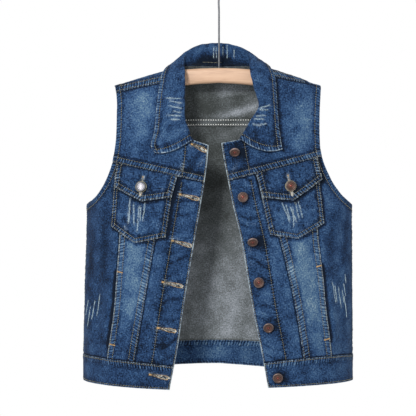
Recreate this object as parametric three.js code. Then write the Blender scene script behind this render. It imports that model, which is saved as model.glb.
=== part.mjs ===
// Denim vest on a wooden hanger. Millimetres, Z up, X to the viewer's right, the open front
// toward -Y. The origin is inside the crown of the hook, where a rail carries it.
// Left and right are the viewer's. A distance "out" runs from the middle toward that side.
import * as THREE from 'three';

// cloth and seams
const CLOTH = 1.2;            // one layer of denim
const DOUBLE = 2.2;           // two layers, at collar, flaps, waistband and front edge
const SEAM_GAP = 0.4;         // between two pieces at a seam
const LAYER_GAP = 0.6;        // between a piece and what lies on it
const FACING = 38;            // width of the folded front edge

// how the cloth hangs away from the shoulder line
const FALL = 250;             // drop over which a shoulder rounds out to full depth
const FRONT = { face: -1, depth: 50, turn: 130, swing: 28 };
const BACK = { face: 1, depth: 45, turn: 75, swing: 0 };
const SWING_FROM = 150;       // the fronts swing forward from this drop
const SWING_OVER = 410;

// hanger
const BAR_THICK = 12;
const WIRE = 3.2;
const HOOK_INSIDE = 20;       // inner radius of the hook
const HOOK_TURN = 205;        // degrees of arc from the stem side over the crown
const STEM_BEND = 62;         // height over which the wire swings back to the middle

// buttons
const BUTTON_D = 17;
const BUTTON_TALL = 3.4;

// shoulder line, seen from the front
const SHOULDER = [
  { x: -178.5, z: -202.3 },
  { x: -93.5, z: -176.8 },
  { x: 0, z: -145 },
  { x: 102, z: -176.5 },
  { x: 172.5, z: -202.3 },
];

// width of the body at each height, from the middle to each side seam
const SIDES = [
  { z: -400, left: 224.4, right: 225.3 },
  { z: -460, left: 225.0, right: 225.5 },
  { z: -520, left: 227.0, right: 225.9 },
  { z: -580, left: 228.5, right: 226.2 },
  { z: -640, left: 229.8, right: 226.6 },
  { z: -706, left: 230.4, right: 227.0 },
];

// front edge and the two slanted seams of each front, out from the middle
const FRONT_SEAMS = [
  { z: -305, left: { edge: 17.7, inner: 72, outer: 164 }, right: { edge: 3.9, inner: 44, outer: 161.6 } },
  { z: -340, left: { edge: 20.5, inner: 79.6, outer: 164.1 }, right: { edge: 10.2, inner: 56, outer: 161.8 } },
  { z: -400, left: { edge: 30.2, inner: 93.4, outer: 164.7 }, right: { edge: 21.7, inner: 76.2, outer: 162.3 } },
  { z: -460, left: { edge: 40.5, inner: 105.7, outer: 165.9 }, right: { edge: 36.0, inner: 99.5, outer: 164.9 } },
  { z: -520, left: { edge: 50.5, inner: 116.4, outer: 170.2 }, right: { edge: 46.1, inner: 114.6, outer: 172.2 } },
  { z: -580, left: { edge: 60.2, inner: 126.2, outer: 174.6 }, right: { edge: 56.2, inner: 126.7, outer: 177.6 } },
  { z: -640, left: { edge: 68.8, inner: 136.5, outer: 182.3 }, right: { edge: 68.1, inner: 136.2, outer: 184.3 } },
  { z: -706, left: { edge: 81.3, inner: 146.0, outer: 191.0 }, right: { edge: 80.0, inner: 145.0, outer: 191.5 } },
];

// armhole edges, out from the middle
const ARMHOLE = [
  { z: -203, frontLeft: 177.8, frontRight: 173.1, backLeft: 176.0, backRight: 171.5 },
  { z: -214, frontLeft: 174.2, frontRight: 171.8, backLeft: 172.8, backRight: 170.0 },
  { z: -231, frontLeft: 172.2, frontRight: 170.3, backLeft: 171.0, backRight: 168.3 },
  { z: -253, frontLeft: 172.0, frontRight: 168.9, backLeft: 170.0, backRight: 166.9 },
  { z: -272, frontLeft: 172.1, frontRight: 168.4, backLeft: 170.0, backRight: 166.4 },
  { z: -292, frontLeft: 172.9, frontRight: 168.4, backLeft: 170.9, backRight: 166.4 },
  { z: -313, frontLeft: 175.3, frontRight: 169.6, backLeft: 173.3, backRight: 167.6 },
  { z: -333, frontLeft: 178.6, frontRight: 174.5, backLeft: 176.6, backRight: 172.5 },
  { z: -353, frontLeft: 185.3, frontRight: 183.0, backLeft: 183.3, backRight: 181.0 },
  { z: -373, frontLeft: 194.8, frontRight: 194.2, backLeft: 192.8, backRight: 192.2 },
  { z: -391, frontLeft: 207.0, frontRight: 208.3, backLeft: 205.0, backRight: 206.3 },
  { z: -404, frontLeft: 224.4, frontRight: 225.3, backLeft: 224.4, backRight: 225.3 },
];
const ARMPIT = -404;

// Cross seams of the fronts: height at the inner and outer end, with the distance along the
// cloth from the middle to each, and the rise of the seam's own middle.
const YOKE_SEAM = {
  left: { inner: 24.5, innerZ: -366.2, outer: 185, outerZ: -326, rise: 2.6 },
  right: { inner: 14.5, innerZ: -364.5, outer: 174.3, outerZ: -312.4, rise: 2.8 },
};
const BAND_TOP = {
  left: { inner: 73.7, innerZ: -670.6, outer: 304, outerZ: -656.8, rise: 3.7 },
  right: { inner: 71.5, innerZ: -665.0, outer: 301, outerZ: -659.5, rise: 6.6 },
};
const BAND_FOOT = {
  left: { inner: 81.8, innerZ: -708.2, outer: 304, outerZ: -699.5, rise: 0.6 },
  right: { inner: 79.7, innerZ: -704.9, outer: 301, outerZ: -700.5, rise: 1.6 },
};
const BACK_YOKE_Z = -267;
const BACK_BAND_TOP = { middle: -638, side: -656.5, left: 2, right: 1.6 };
const BACK_BAND_FOOT = { middle: -678.5, side: -699.5, left: 2, right: 1.15 };
const BACK_SEAM = { top: 108, foot: 88 };

// front yokes, top to bottom: height on the armhole, then the neck and front edge
const YOKE_ROWS = {
  left: [
    { armZ: -214.5, out: 76.5, z: -194 }, { armZ: -227, out: 75.5, z: -216 },
    { armZ: -240, out: 71, z: -243 }, { armZ: -252, out: 63, z: -266 },
    { armZ: -263, out: 53, z: -284 }, { armZ: -274, out: 42, z: -297 },
    { armZ: -285, out: 30, z: -301 }, { armZ: -295, out: 17.7, z: -304.8 },
    { armZ: -305, out: 19.6, z: -330 }, { armZ: -315, out: 22, z: -348 },
    { armZ: -326, out: 24.5, z: -366.2 },
  ],
  right: [
    { armZ: -203.6, out: 74, z: -184 }, { armZ: -216, out: 76.5, z: -206 },
    { armZ: -229, out: 78, z: -226 }, { armZ: -241, out: 78, z: -241 },
    { armZ: -252, out: 71.5, z: -257 }, { armZ: -263, out: 58, z: -276 },
    { armZ: -273, out: 38, z: -294.5 }, { armZ: -283, out: 20, z: -298.5 },
    { armZ: -293, out: 3.4, z: -301.5 }, { armZ: -302, out: 8.6, z: -333 },
    { armZ: -312.4, out: 14.5, z: -364.5 },
  ],
};

// back yoke, armhole to armhole: where each line starts on the back seam, crosses the
// shoulder line and ends, at a front shoulder seam or at the neck height given
const BACK_YOKE_ROWS = [
  { seam: -169.9, crest: -177.8, top: -174.2, on: FRONT },
  { seam: -150, crest: -153, top: -152, on: FRONT },
  { seam: -128, crest: -128, top: -127, on: FRONT },
  { seam: -106, crest: -102, top: -102, on: FRONT },
  { seam: -84, crest: -75.5, top: -76.5, on: FRONT },
  { seam: -80, crest: -75.8, top: -76.3, topZ: -181, on: FRONT },
  { seam: -77, crest: -75.5, top: -75, topZ: -170.6, on: BACK },
  { seam: -72, crest: -71, top: -71, topZ: -170.5, on: BACK },
  { seam: -60, crest: -59, top: -58, topZ: -167.2, on: BACK },
  { seam: -40, crest: -39, top: -38, topZ: -166.4, on: BACK },
  { seam: -20, crest: -19.5, top: -19, topZ: -166.8, on: BACK },
  { seam: 0, crest: 0, top: 0, topZ: -167, on: BACK },
  { seam: 20, crest: 19.5, top: 19, topZ: -166.8, on: BACK },
  { seam: 40, crest: 39, top: 38, topZ: -166.4, on: BACK },
  { seam: 60, crest: 58.5, top: 57, topZ: -167, on: BACK },
  { seam: 70, crest: 69, top: 69, topZ: -169.5, on: BACK },
  { seam: 75, crest: 73.7, top: 73.5, topZ: -167.7, on: BACK },
  { seam: 78, crest: 74, top: 74.2, topZ: -176, on: FRONT },
  { seam: 82, crest: 74, top: 74, on: FRONT },
  { seam: 104, crest: 100, top: 100, on: FRONT },
  { seam: 125, crest: 124, top: 124, on: FRONT },
  { seam: 146, crest: 148, top: 148, on: FRONT },
  { seam: 166.3, crest: 172.6, top: 172.5, on: FRONT },
];

// collar, left point to right point: foot at the neck seam, fold line, falling edge.
// "turn" is the way the roll faces: 0 to the back, 90 to the side, 180 to the front. "rise" lifts
// the foot off the cloth where the collar's end lies on the yoke.
const COLLAR_ROWS = [
  { side: -1, foot: [42, -297, FRONT], rise: 1.8, roll: [45, -50, -299], edge: [107, -318, FRONT], turn: 180, sag: 0 },
  { side: -1, foot: [53, -284, FRONT], rise: 1.2, roll: [51.5, -48, -280], edge: [113, -307, FRONT], turn: 180, sag: 0 },
  { side: -1, foot: [63, -266, FRONT], roll: [58, -44.5, -260], edge: [107.5, -283, FRONT], turn: 180, sag: 0 },
  { side: -1, foot: [71, -243, FRONT], roll: [58, -40, -237], edge: [105, -255, FRONT], turn: 180, sag: 0 },
  { side: -1, foot: [75.5, -216, FRONT], roll: [58, -33.5, -210], edge: [102, -224, FRONT], turn: 180, sag: 0 },
  { side: -1, foot: [76.5, -194, FRONT], roll: [58.5, -24, -185], edge: [98.5, -199, FRONT], turn: 165, sag: 0 },
  { side: -1, foot: [76.5, -180, FRONT], roll: [59.5, -8, -165], edge: [93.5, -181, FRONT], turn: 140, sag: 0 },
  { side: -1, foot: [73.5, -170.2, BACK], roll: [59.5, 6, -149.5], edge: [88.5, -172.6, BACK], turn: 90, sag: 0, bulge: 0.4 },
  { side: -1, foot: [58, -167.2, BACK], roll: [52.5, 14, -141.2], edge: [78, -181, BACK], turn: 45, sag: 0 },
  { side: -1, foot: [38, -166.4, BACK], roll: [33, 22, -130.6], edge: [48, -180, BACK], turn: 20, sag: 0 },
  { side: 1, foot: [0, -167, BACK], roll: [0, 26, -127], edge: [0, -178, BACK], turn: 0, sag: 0 },
  { side: 1, foot: [38, -166.4, BACK], roll: [34, 20, -133.6], edge: [50, -180, BACK], turn: 20, sag: 0 },
  { side: 1, foot: [57, -167, BACK], roll: [48, 14, -141], edge: [77, -180, BACK], turn: 45, sag: 0 },
  { side: 1, foot: [70, -168.2, BACK], roll: [53.5, 7, -148], edge: [83.5, -168.2, BACK], turn: 90, sag: 0, bulge: 0.4 },
  { side: 1, foot: [74, -177, FRONT], roll: [53, -7, -161], edge: [88, -177.5, FRONT], turn: 140, sag: 0 },
  { side: 1, foot: [74.5, -189, FRONT], roll: [52.5, -21, -178], edge: [94, -193, FRONT], turn: 165, sag: 0 },
  { side: 1, foot: [76.5, -206, FRONT], roll: [57, -31, -200], edge: [95.5, -213, FRONT], turn: 180, sag: 0 },
  { side: 1, foot: [78, -226, FRONT], roll: [63.5, -37, -222], edge: [96.5, -235, FRONT], turn: 180, sag: 0 },
  { side: 1, foot: [78, -241, FRONT], roll: [67, -40.5, -239], edge: [97.5, -254, FRONT], turn: 180, sag: 0 },
  { side: 1, foot: [71.5, -257, FRONT], roll: [58, -43.5, -256], edge: [99, -275, FRONT], turn: 180, sag: 1 },
  { side: 1, foot: [58, -276, FRONT], rise: 0.6, roll: [45.5, -47, -276], edge: [102, -296, FRONT], turn: 180, sag: 3 },
  { side: 1, foot: [38, -294.5, FRONT], rise: 1.8, roll: [34, -50, -297], edge: [104.6, -312, FRONT], turn: 180, sag: 6 },
];
const COLLAR_ROLL = 2.2;       // radius of the fold
const COLLAR_BULGE = 2.5;     // how far the falling part bows out
const LEAF_LIFT = 2.6;        // middle of the falling edge above the cloth under it

// chest pockets and flaps: corners and the point, [out, z]
const POCKETS = {
  left: { topIn: [76, -372], topOut: [173.8, -350], footOut: [179, -440], point: [140.6, -468], footIn: [89, -458] },
  right: { topIn: [66, -372], topOut: [164.5, -345], footOut: [174.5, -435], point: [129.7, -461], footIn: [84, -454] },
};
const FLAPS = {
  left: { topIn: [69.7, -358.4], topOut: [169.2, -333.2], footOut: [174.2, -374], point: [129, -399], footIn: [79, -392] },
  right: { topIn: [61.4, -352.8], topOut: [162.6, -321.5], footOut: [170.6, -362], point: [122.5, -397.5], footIn: [71.4, -392.4] },
};
const FLAP_DROP = 2.2;        // a flap starts this far under the yoke seam

// tack buttons on the right front edge and on the flaps, [out, z]
const EDGE_BUTTONS = [[27.9, -313.2], [39, -391.8], [54.9, -465.6], [64.9, -532.9], [80.3, -606.2], [95.6, -687.8]];
const FLAP_BUTTONS = { left: [129.3, -374.8], right: [118.1, -373.6] };

// largest folds of the hanging cloth: crest height is out of the cloth, a trough is negative
const FOLDS = [
  { on: FRONT, side: -1, out: 205, z: -560, long: 95, wide: 13, high: -3.2, lean: 0.06 },
  { on: FRONT, side: -1, out: 186, z: -640, long: 60, wide: 11, high: 1.8, lean: 0.05 },
  { on: FRONT, side: 1, out: 204, z: -545, long: 100, wide: 14, high: -3.4, lean: -0.04 },
  { on: FRONT, side: 1, out: 188, z: -628, long: 55, wide: 12, high: 1.6, lean: 0.04 },
  { on: FRONT, side: -1, out: 192, z: -420, long: 45, wide: 14, high: 2.2, lean: 0.35 },
  { on: FRONT, side: 1, out: 196, z: -425, long: 42, wide: 15, high: 2.0, lean: 0.3 },
  { on: FRONT, side: -1, out: 120, z: -285, long: 55, wide: 22, high: 2.0, lean: -0.25 },
  { on: FRONT, side: 1, out: 124, z: -275, long: 60, wide: 20, high: 1.8, lean: -0.2 },
  { on: BACK, side: -1, out: 122, z: -440, long: 120, wide: 18, high: -3.0, lean: -0.08 },
  { on: BACK, side: 1, out: 116, z: -470, long: 130, wide: 20, high: -3.4, lean: -0.05 },
  { on: BACK, side: 1, out: 10, z: -560, long: 90, wide: 26, high: -2.2, lean: 0.03 },
  { on: BACK, side: -1, out: 52, z: -380, long: 80, wide: 20, high: 1.8, lean: 0.06 },
];

const denim = new THREE.MeshStandardMaterial({ color: 0x35507a, roughness: 0.9, metalness: 0 });
const faded = new THREE.MeshStandardMaterial({ color: 0x6482a5, roughness: 0.9, metalness: 0 });
const copper = new THREE.MeshStandardMaterial({ color: 0x9a6a48, roughness: 0.35, metalness: 1 });
const silver = new THREE.MeshStandardMaterial({ color: 0xb9b6ae, roughness: 0.35, metalness: 1 });
const wood = new THREE.MeshStandardMaterial({ color: 0xd9bf93, roughness: 0.55, metalness: 0 });
const steel = new THREE.MeshStandardMaterial({ color: 0xb8bcc0, roughness: 0.25, metalness: 1 });

const vest = new THREE.Group();
const SIDE = { left: -1, right: 1 };
const lerp = THREE.MathUtils.lerp;
const clamp = THREE.MathUtils.clamp;
const radians = THREE.MathUtils.degToRad;

// A value read from a table sorted by falling z, by a smooth curve through its rows.
function along(rows, value, z) {
  const last = rows.length - 1;
  if (z >= rows[0].z) return value(rows[0]);
  if (z <= rows[last].z) return value(rows[last]);
  const i = rows.findIndex((row, k) => k < last && z >= rows[k + 1].z);
  const slope = (k) => {
    const a = rows[Math.max(0, k - 1)];
    const b = rows[Math.min(last, k + 1)];
    return (value(b) - value(a)) / (b.z - a.z);
  };
  const step = rows[i + 1].z - rows[i].z;
  const t = (z - rows[i].z) / step;
  const rise = value(rows[i + 1]) - value(rows[i]);
  const bend = t * (1 - t) * step;
  return value(rows[i]) + rise * t * t * (3 - 2 * t)
    + bend * ((1 - t) * slope(i) - t * slope(i + 1));
}

function shoulderLine(x) {
  let i = SHOULDER.findIndex((row, k) => k > 0 && x <= row.x);
  if (i < 0) i = SHOULDER.length - 1;
  const a = SHOULDER[i - 1];
  const b = SHOULDER[i];
  return lerp(a.z, b.z, (x - a.x) / (b.x - a.x));
}

const bodyWidth = (side, z) => along(SIDES, (row) => (side < 0 ? row.left : row.right), z);

// A cross seam with a slight bow: its height at a distance along the cloth.
function seamHeight(seam, distance) {
  const t = (distance - seam.inner) / (seam.outer - seam.inner);
  return lerp(seam.innerZ, seam.outerZ, t) + seam.rise * 4 * t * (1 - t);
}

// Distance along the cloth for a point that is seen "out" from the middle.
function clothDistance(sheet, side, out, z) {
  const flat = bodyWidth(side, z) - sheet.turn;
  if (out <= flat) return out;
  return flat + sheet.turn * Math.asin(Math.min(1, (out - flat) / sheet.turn));
}

function foldHeight(sheet, side, out, z) {
  let height = 0;
  for (const fold of FOLDS) {
    if (fold.on !== sheet || (fold.side !== side && fold.out > fold.wide * 3)) continue;
    const reach = (z - fold.z) / fold.long;
    const across = (out * side - (fold.out + (z - fold.z) * fold.lean) * fold.side) / fold.wide;
    height += fold.high * Math.exp(-reach * reach - across * across);
  }
  return height;
}

// Point of the cloth's outer face: "along" is the distance along the cloth from the middle.
function clothPoint(sheet, side, distance, z) {
  const flat = bodyWidth(side, z) - sheet.turn;
  const angle = Math.max(0, (distance - flat) / sheet.turn);
  const out = distance <= flat ? distance : flat + sheet.turn * Math.sin(angle);
  const drop = Math.max(0, shoulderLine(side * out) - z);
  const round = Math.sqrt(1 - (1 - Math.min(1, drop / FALL)) ** 2);
  const swing = sheet.swing * THREE.MathUtils.smoothstep(drop, SWING_FROM, SWING_FROM + SWING_OVER);
  const depth = (sheet.depth * round + swing) * Math.cos(angle);
  const fold = foldHeight(sheet, side, out, z) * round;
  return new THREE.Vector3(
    side * (out + fold * Math.sin(angle)),
    sheet.face * (depth + fold * Math.cos(angle)),
    z,
  );
}

// The same point moved off the cloth along its outward normal.
function liftedPoint(sheet, side, distance, z, lift) {
  const here = clothPoint(sheet, side, distance, z);
  const step = 0.5;
  const across = clothPoint(sheet, side, distance + step, z).sub(here);
  const down = clothPoint(sheet, side, distance, z - step).sub(here);
  const normal = across.cross(down).normalize();
  if (normal.y * sheet.face < 0 && Math.abs(normal.y) > 0.02) normal.negate();
  else if (Math.abs(normal.y) <= 0.02 && normal.x * side < 0) normal.negate();
  return here.addScaledVector(normal, lift);
}

function seenPoint(sheet, side, out, z, lift = 0) {
  return liftedPoint(sheet, side, clothDistance(sheet, side, out, z), z, lift);
}

// Pulls the four edges of a grid of points inward, by one amount per edge.
function drawIn(grid, { top = 0, foot = 0, start = 0, end = 0 }) {
  const last = grid.length - 1;
  const pull = (point, toward, amount) => {
    const away = toward.clone().sub(point);
    return point.clone().addScaledVector(away, amount / Math.max(amount, away.length()));
  };
  const sides = grid.map((row) => {
    const end0 = row.length - 1;
    const copy = row.map((point) => point.clone());
    copy[0] = pull(row[0], row[1], start);
    copy[end0] = pull(row[end0], row[end0 - 1], end);
    return copy;
  });
  const firstRow = sides[0].map((point, i) => pull(point, sides[1][i], top));
  const lastRow = sides[last].map((point, i) => pull(point, sides[last - 1][i], foot));
  return [firstRow, ...sides.slice(1, last), lastRow];
}

function gridNormals(grid, outward) {
  const rows = grid.length;
  const cols = grid[0].length;
  const normals = grid.map((row, r) => row.map((point, c) => {
    const down = grid[Math.min(rows - 1, r + 1)][c].clone().sub(grid[Math.max(0, r - 1)][c]);
    const over = grid[r][Math.min(cols - 1, c + 1)].clone().sub(grid[r][Math.max(0, c - 1)]);
    return down.cross(over).normalize();
  }));
  const middle = normals[rows >> 1][cols >> 1];
  if (middle.dot(outward) < 0) normals.forEach((row) => row.forEach((normal) => normal.negate()));
  return normals;
}

// A closed wall: its outer points are the grid moved out by "over", its inner ones lie
// "thick" behind that. Both may be functions of row and column.
function wall(grid, outward, thick, over = 0) {
  const rows = grid.length;
  const cols = grid[0].length;
  const normals = gridNormals(grid, outward);
  const read = (value, r, c) => (typeof value === 'function' ? value(r, c) : value);
  const positions = [];
  for (const layer of [0, 1]) {
    grid.forEach((row, r) => row.forEach((point, c) => {
      const offset = read(over, r, c) - layer * read(thick, r, c);
      positions.push(...point.clone().addScaledVector(normals[r][c], offset).toArray());
    }));
  }
  const at = (layer, r, c) => layer * rows * cols + r * cols + c;
  const faces = [];
  const quad = (a, b, c, d) => faces.push(a, b, c, a, c, d);
  for (let r = 0; r < rows - 1; r += 1) {
    for (let c = 0; c < cols - 1; c += 1) {
      quad(at(0, r, c), at(0, r + 1, c), at(0, r + 1, c + 1), at(0, r, c + 1));
      quad(at(1, r, c), at(1, r, c + 1), at(1, r + 1, c + 1), at(1, r + 1, c));
    }
  }
  for (let c = 0; c < cols - 1; c += 1) {
    quad(at(0, 0, c), at(0, 0, c + 1), at(1, 0, c + 1), at(1, 0, c));
    quad(at(0, rows - 1, c), at(1, rows - 1, c), at(1, rows - 1, c + 1), at(0, rows - 1, c + 1));
  }
  for (let r = 0; r < rows - 1; r += 1) {
    quad(at(0, r, 0), at(1, r, 0), at(1, r + 1, 0), at(0, r + 1, 0));
    quad(at(0, r, cols - 1), at(0, r + 1, cols - 1), at(1, r + 1, cols - 1), at(1, r, cols - 1));
  }
  return facingOut(positions, faces);
}

// Buffer geometry from points and faces, turned so that the faces point out.
function facingOut(positions, faces) {
  const point = (i) => new THREE.Vector3().fromArray(positions, i * 3);
  let volume = 0;
  for (let i = 0; i < faces.length; i += 3) {
    volume += point(faces[i]).dot(point(faces[i + 1]).cross(point(faces[i + 2])));
  }
  const ordered = volume > 0 ? faces : faces.slice().reverse();
  const geometry = new THREE.BufferGeometry();
  geometry.setAttribute('position', new THREE.Float32BufferAttribute(positions, 3));
  geometry.setIndex(ordered);
  return geometry;
}

function add(name, geometry, material) {
  const mesh = new THREE.Mesh(geometry, material);
  mesh.name = name;
  vest.add(mesh);
  return mesh;
}

const steps = (count) => Array.from({ length: count + 1 }, (unused, i) => i / count);
const halfGap = SEAM_GAP / 2;
const faceOf = (sheet) => new THREE.Vector3(0, sheet.face, 0);

// Rows of a lower panel, as parts of its height; the armpit lies on one of them.
const ARMPIT_PART = 0.25;
const PANEL_ROWS = [
  ...steps(6).map((t) => t * ARMPIT_PART),
  ...steps(9).slice(1).map((t) => ARMPIT_PART + t * (1 - ARMPIT_PART)),
];

// A seam of a lower front panel, at a part of its height: [out, z].
function frontSeamPoint(sideName, seam, part) {
  const outAt = (z) => along(FRONT_SEAMS, (row) => row[sideName][seam], z);
  let z = lerp(YOKE_SEAM[sideName].outerZ, BAND_TOP[sideName].outerZ, part);
  for (let pass = 0; pass < 6; pass += 1) {
    const distance = clothDistance(FRONT, SIDE[sideName], outAt(z), z);
    z = lerp(seamHeight(YOKE_SEAM[sideName], distance), seamHeight(BAND_TOP[sideName], distance), part);
  }
  return [outAt(z), z];
}

// Armhole edge and then the side seam of a front or back, at a part of the panel's height.
function sideEdgePoint(sideName, column, topZ, footZ, part) {
  if (part <= ARMPIT_PART) {
    const z = lerp(topZ, ARMPIT, part / ARMPIT_PART);
    return [along(ARMHOLE, (row) => row[column], z), z];
  }
  const z = lerp(ARMPIT, footZ, (part - ARMPIT_PART) / (1 - ARMPIT_PART));
  return [bodyWidth(SIDE[sideName], z), z];
}

// A grid of cloth points between two edges given as [out, z] for each row.
function panelGrid(sheet, side, inner, outer, across, settle = (distance, z) => z) {
  return inner.map(([innerOut, innerZ], r) => {
    const [outerOut, outerZ] = outer[r];
    const from = clothDistance(sheet, side, innerOut, innerZ);
    const to = clothDistance(sheet, side, outerOut, outerZ);
    return across.map((t) => {
      const distance = lerp(from, to, t);
      return clothPoint(sheet, side, distance, settle(distance, lerp(innerZ, outerZ, t), r));
    });
  });
}

function frontPanels(sideName) {
  const side = SIDE[sideName];
  const edge = PANEL_ROWS.map((part) => frontSeamPoint(sideName, 'edge', part));
  const inner = PANEL_ROWS.map((part) => frontSeamPoint(sideName, 'inner', part));
  const outer = PANEL_ROWS.map((part) => frontSeamPoint(sideName, 'outer', part));
  const topZ = YOKE_SEAM[sideName].outerZ;
  const footZ = BAND_TOP[sideName].outerZ;
  const column = armColumn(sideName);
  const armAndSide = PANEL_ROWS.map((part) => sideEdgePoint(sideName, column, topZ, footZ, part));
  const last = PANEL_ROWS.length - 1;
  // keeps the first and last rows on the bowed seams
  const onSeams = (distance, z, r) => {
    if (r === 0) return seamHeight(YOKE_SEAM[sideName], distance);
    return r === last ? seamHeight(BAND_TOP[sideName], distance) : z;
  };
  const cut = { top: halfGap, foot: halfGap, start: halfGap, end: halfGap };
  const facingPart = (r) => FACING / (inner[r][0] - edge[r][0]);
  const facingStop = Math.min(0.85, facingPart(last >> 1));
  const centreAcross = [0, facingStop / 2, facingStop, (1 + facingStop) / 2, 1];
  const centre = drawIn(panelGrid(FRONT, side, edge, inner, centreAcross, onSeams), { ...cut, start: 0 });
  const folded = (r, c) => (c <= 2 ? DOUBLE : CLOTH);
  add(`front_center_${sideName}`, wall(centre, faceOf(FRONT), folded), denim);
  const mid = drawIn(panelGrid(FRONT, side, inner, outer, steps(5), onSeams), cut);
  add(`front_mid_${sideName}`, wall(mid, faceOf(FRONT), CLOTH), faded);
  const flankGrid = panelGrid(FRONT, side, outer, armAndSide, steps(8), onSeams);
  const flank = drawIn(flankGrid, { ...cut, end: SEAM_GAP });
  add(`front_side_${sideName}`, wall(flank, faceOf(FRONT), CLOTH), denim);
}

const armColumn = (sideName) => (sideName === 'left' ? 'frontLeft' : 'frontRight');

// Height of the front shoulder seam at a distance out from the middle.
function shoulderSeamHeight(sideName, out) {
  const neck = YOKE_ROWS[sideName][0];
  const arm = along(ARMHOLE, (line) => line[armColumn(sideName)], neck.armZ);
  const at = (place) => clothDistance(FRONT, SIDE[sideName], place, neck.z);
  return lerp(neck.z, neck.armZ, (at(out) - at(neck.out)) / (at(arm) - at(neck.out)));
}

function frontYoke(sideName) {
  const side = SIDE[sideName];
  const rows = YOKE_ROWS[sideName];
  const last = rows.length - 1;
  const column = armColumn(sideName);
  const inner = rows.map((row) => [row.out, row.z]);
  const arm = rows.map((row) => [along(ARMHOLE, (line) => line[column], row.armZ), row.armZ]);
  const onSeam = (distance, z, r) => (r === last ? seamHeight(YOKE_SEAM[sideName], distance) : z);
  const grid = panelGrid(FRONT, side, inner, arm, steps(9), onSeam);
  const cut = { top: halfGap, foot: halfGap, start: halfGap };
  add(`front_yoke_${sideName}`, wall(drawIn(grid, cut), faceOf(FRONT), CLOTH), faded);
}

// Angle around the shoulder line: 0 on it, positive to the back, negative to the front.
function crestAngle(sheet, x, z) {
  const drop = clamp((shoulderLine(x) - z) / FALL, 0, 1);
  return sheet.face * Math.acos(1 - drop);
}

function crestPoint(x, angle) {
  const sheet = angle >= 0 ? BACK : FRONT;
  const side = x < 0 ? -1 : 1;
  const z = shoulderLine(x) - FALL * (1 - Math.cos(angle));
  const flat = bodyWidth(side, z) - sheet.turn;
  const turned = clamp((Math.abs(x) - flat) / sheet.turn, 0, 1);
  return new THREE.Vector3(x, sheet.depth * Math.sin(angle) * Math.sqrt(1 - turned * turned), z);
}

function backYoke() {
  const upBack = 6;
  const overTop = 5;
  const columns = BACK_YOKE_ROWS.map((row) => {
    const seam = { x: row.seam, angle: crestAngle(BACK, row.seam, BACK_YOKE_Z) };
    const sideName = row.top < 0 ? 'left' : 'right';
    const topZ = row.topZ ?? shoulderSeamHeight(sideName, Math.abs(row.top));
    const top = { x: row.top, angle: crestAngle(row.on, row.top, topZ) };
    const crestTurn = row.on === FRONT ? 0 : (seam.angle + top.angle) / 2;
    const crest = { x: row.crest, angle: crestTurn };
    const stretch = (a, b, count) => steps(count).map((t) => [lerp(a.x, b.x, t), lerp(a.angle, b.angle, t)]);
    const line = [...stretch(seam, crest, upBack), ...stretch(crest, top, overTop).slice(1)];
    return line.map(([x, angle]) => crestPoint(x, angle));
  });
  const cut = { start: halfGap, end: SEAM_GAP };
  add('back_yoke', wall(drawIn(columns, cut), faceOf(BACK), CLOTH), denim);
}

// Height of a back edge that sags from the middle to the side seams, by a power for each side.
const backEdge = (edge, x, side) => {
  const part = Math.min(1, Math.abs(x) / bodyWidth(side, edge.side));
  return lerp(edge.middle, edge.side, part ** (side < 0 ? edge.left : edge.right));
};

function backPanels() {
  const seamOut = (z) => lerp(BACK_SEAM.top, BACK_SEAM.foot, (z - BACK_YOKE_Z) / (BACK_BAND_TOP.side - BACK_YOKE_Z));
  const cut = { top: halfGap, foot: halfGap, start: halfGap, end: halfGap };
  const rows = PANEL_ROWS.filter((part, i) => i % 2 === 1 || i === 0 || part > ARMPIT_PART);
  const seamRow = (part, side) => {
    const foot = backEdge(BACK_BAND_TOP, BACK_SEAM.foot, side);
    const z = lerp(BACK_YOKE_Z, foot, part);
    return [seamOut(z), z];
  };
  const centre = rows.map((part) => steps(8).map((t) => {
    const [out] = seamRow(part, 1);
    const x = lerp(-out, out, t);
    const side = x < 0 ? -1 : 1;
    const z = lerp(BACK_YOKE_Z, backEdge(BACK_BAND_TOP, x, side), part);
    return clothPoint(BACK, side, Math.abs(x), z);
  }));
  add('back_center', wall(drawIn(centre, cut), faceOf(BACK), CLOTH), denim);
  for (const sideName of ['left', 'right']) {
    const side = SIDE[sideName];
    const column = side < 0 ? 'backLeft' : 'backRight';
    const inner = PANEL_ROWS.map((part) => seamRow(part, side));
    const outer = PANEL_ROWS.map((part) => sideEdgePoint(sideName, column, BACK_YOKE_Z, BACK_BAND_TOP.side, part));
    const last = PANEL_ROWS.length - 1;
    const onBand = (distance, z, r) => (r === last ? backEdge(BACK_BAND_TOP, distance, side) : z);
    const grid = panelGrid(BACK, side, inner, outer, steps(8), onBand);
    add(`back_side_${sideName}`, wall(drawIn(grid, { ...cut, end: SEAM_GAP }), faceOf(BACK), CLOTH), denim);
  }
}

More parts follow.
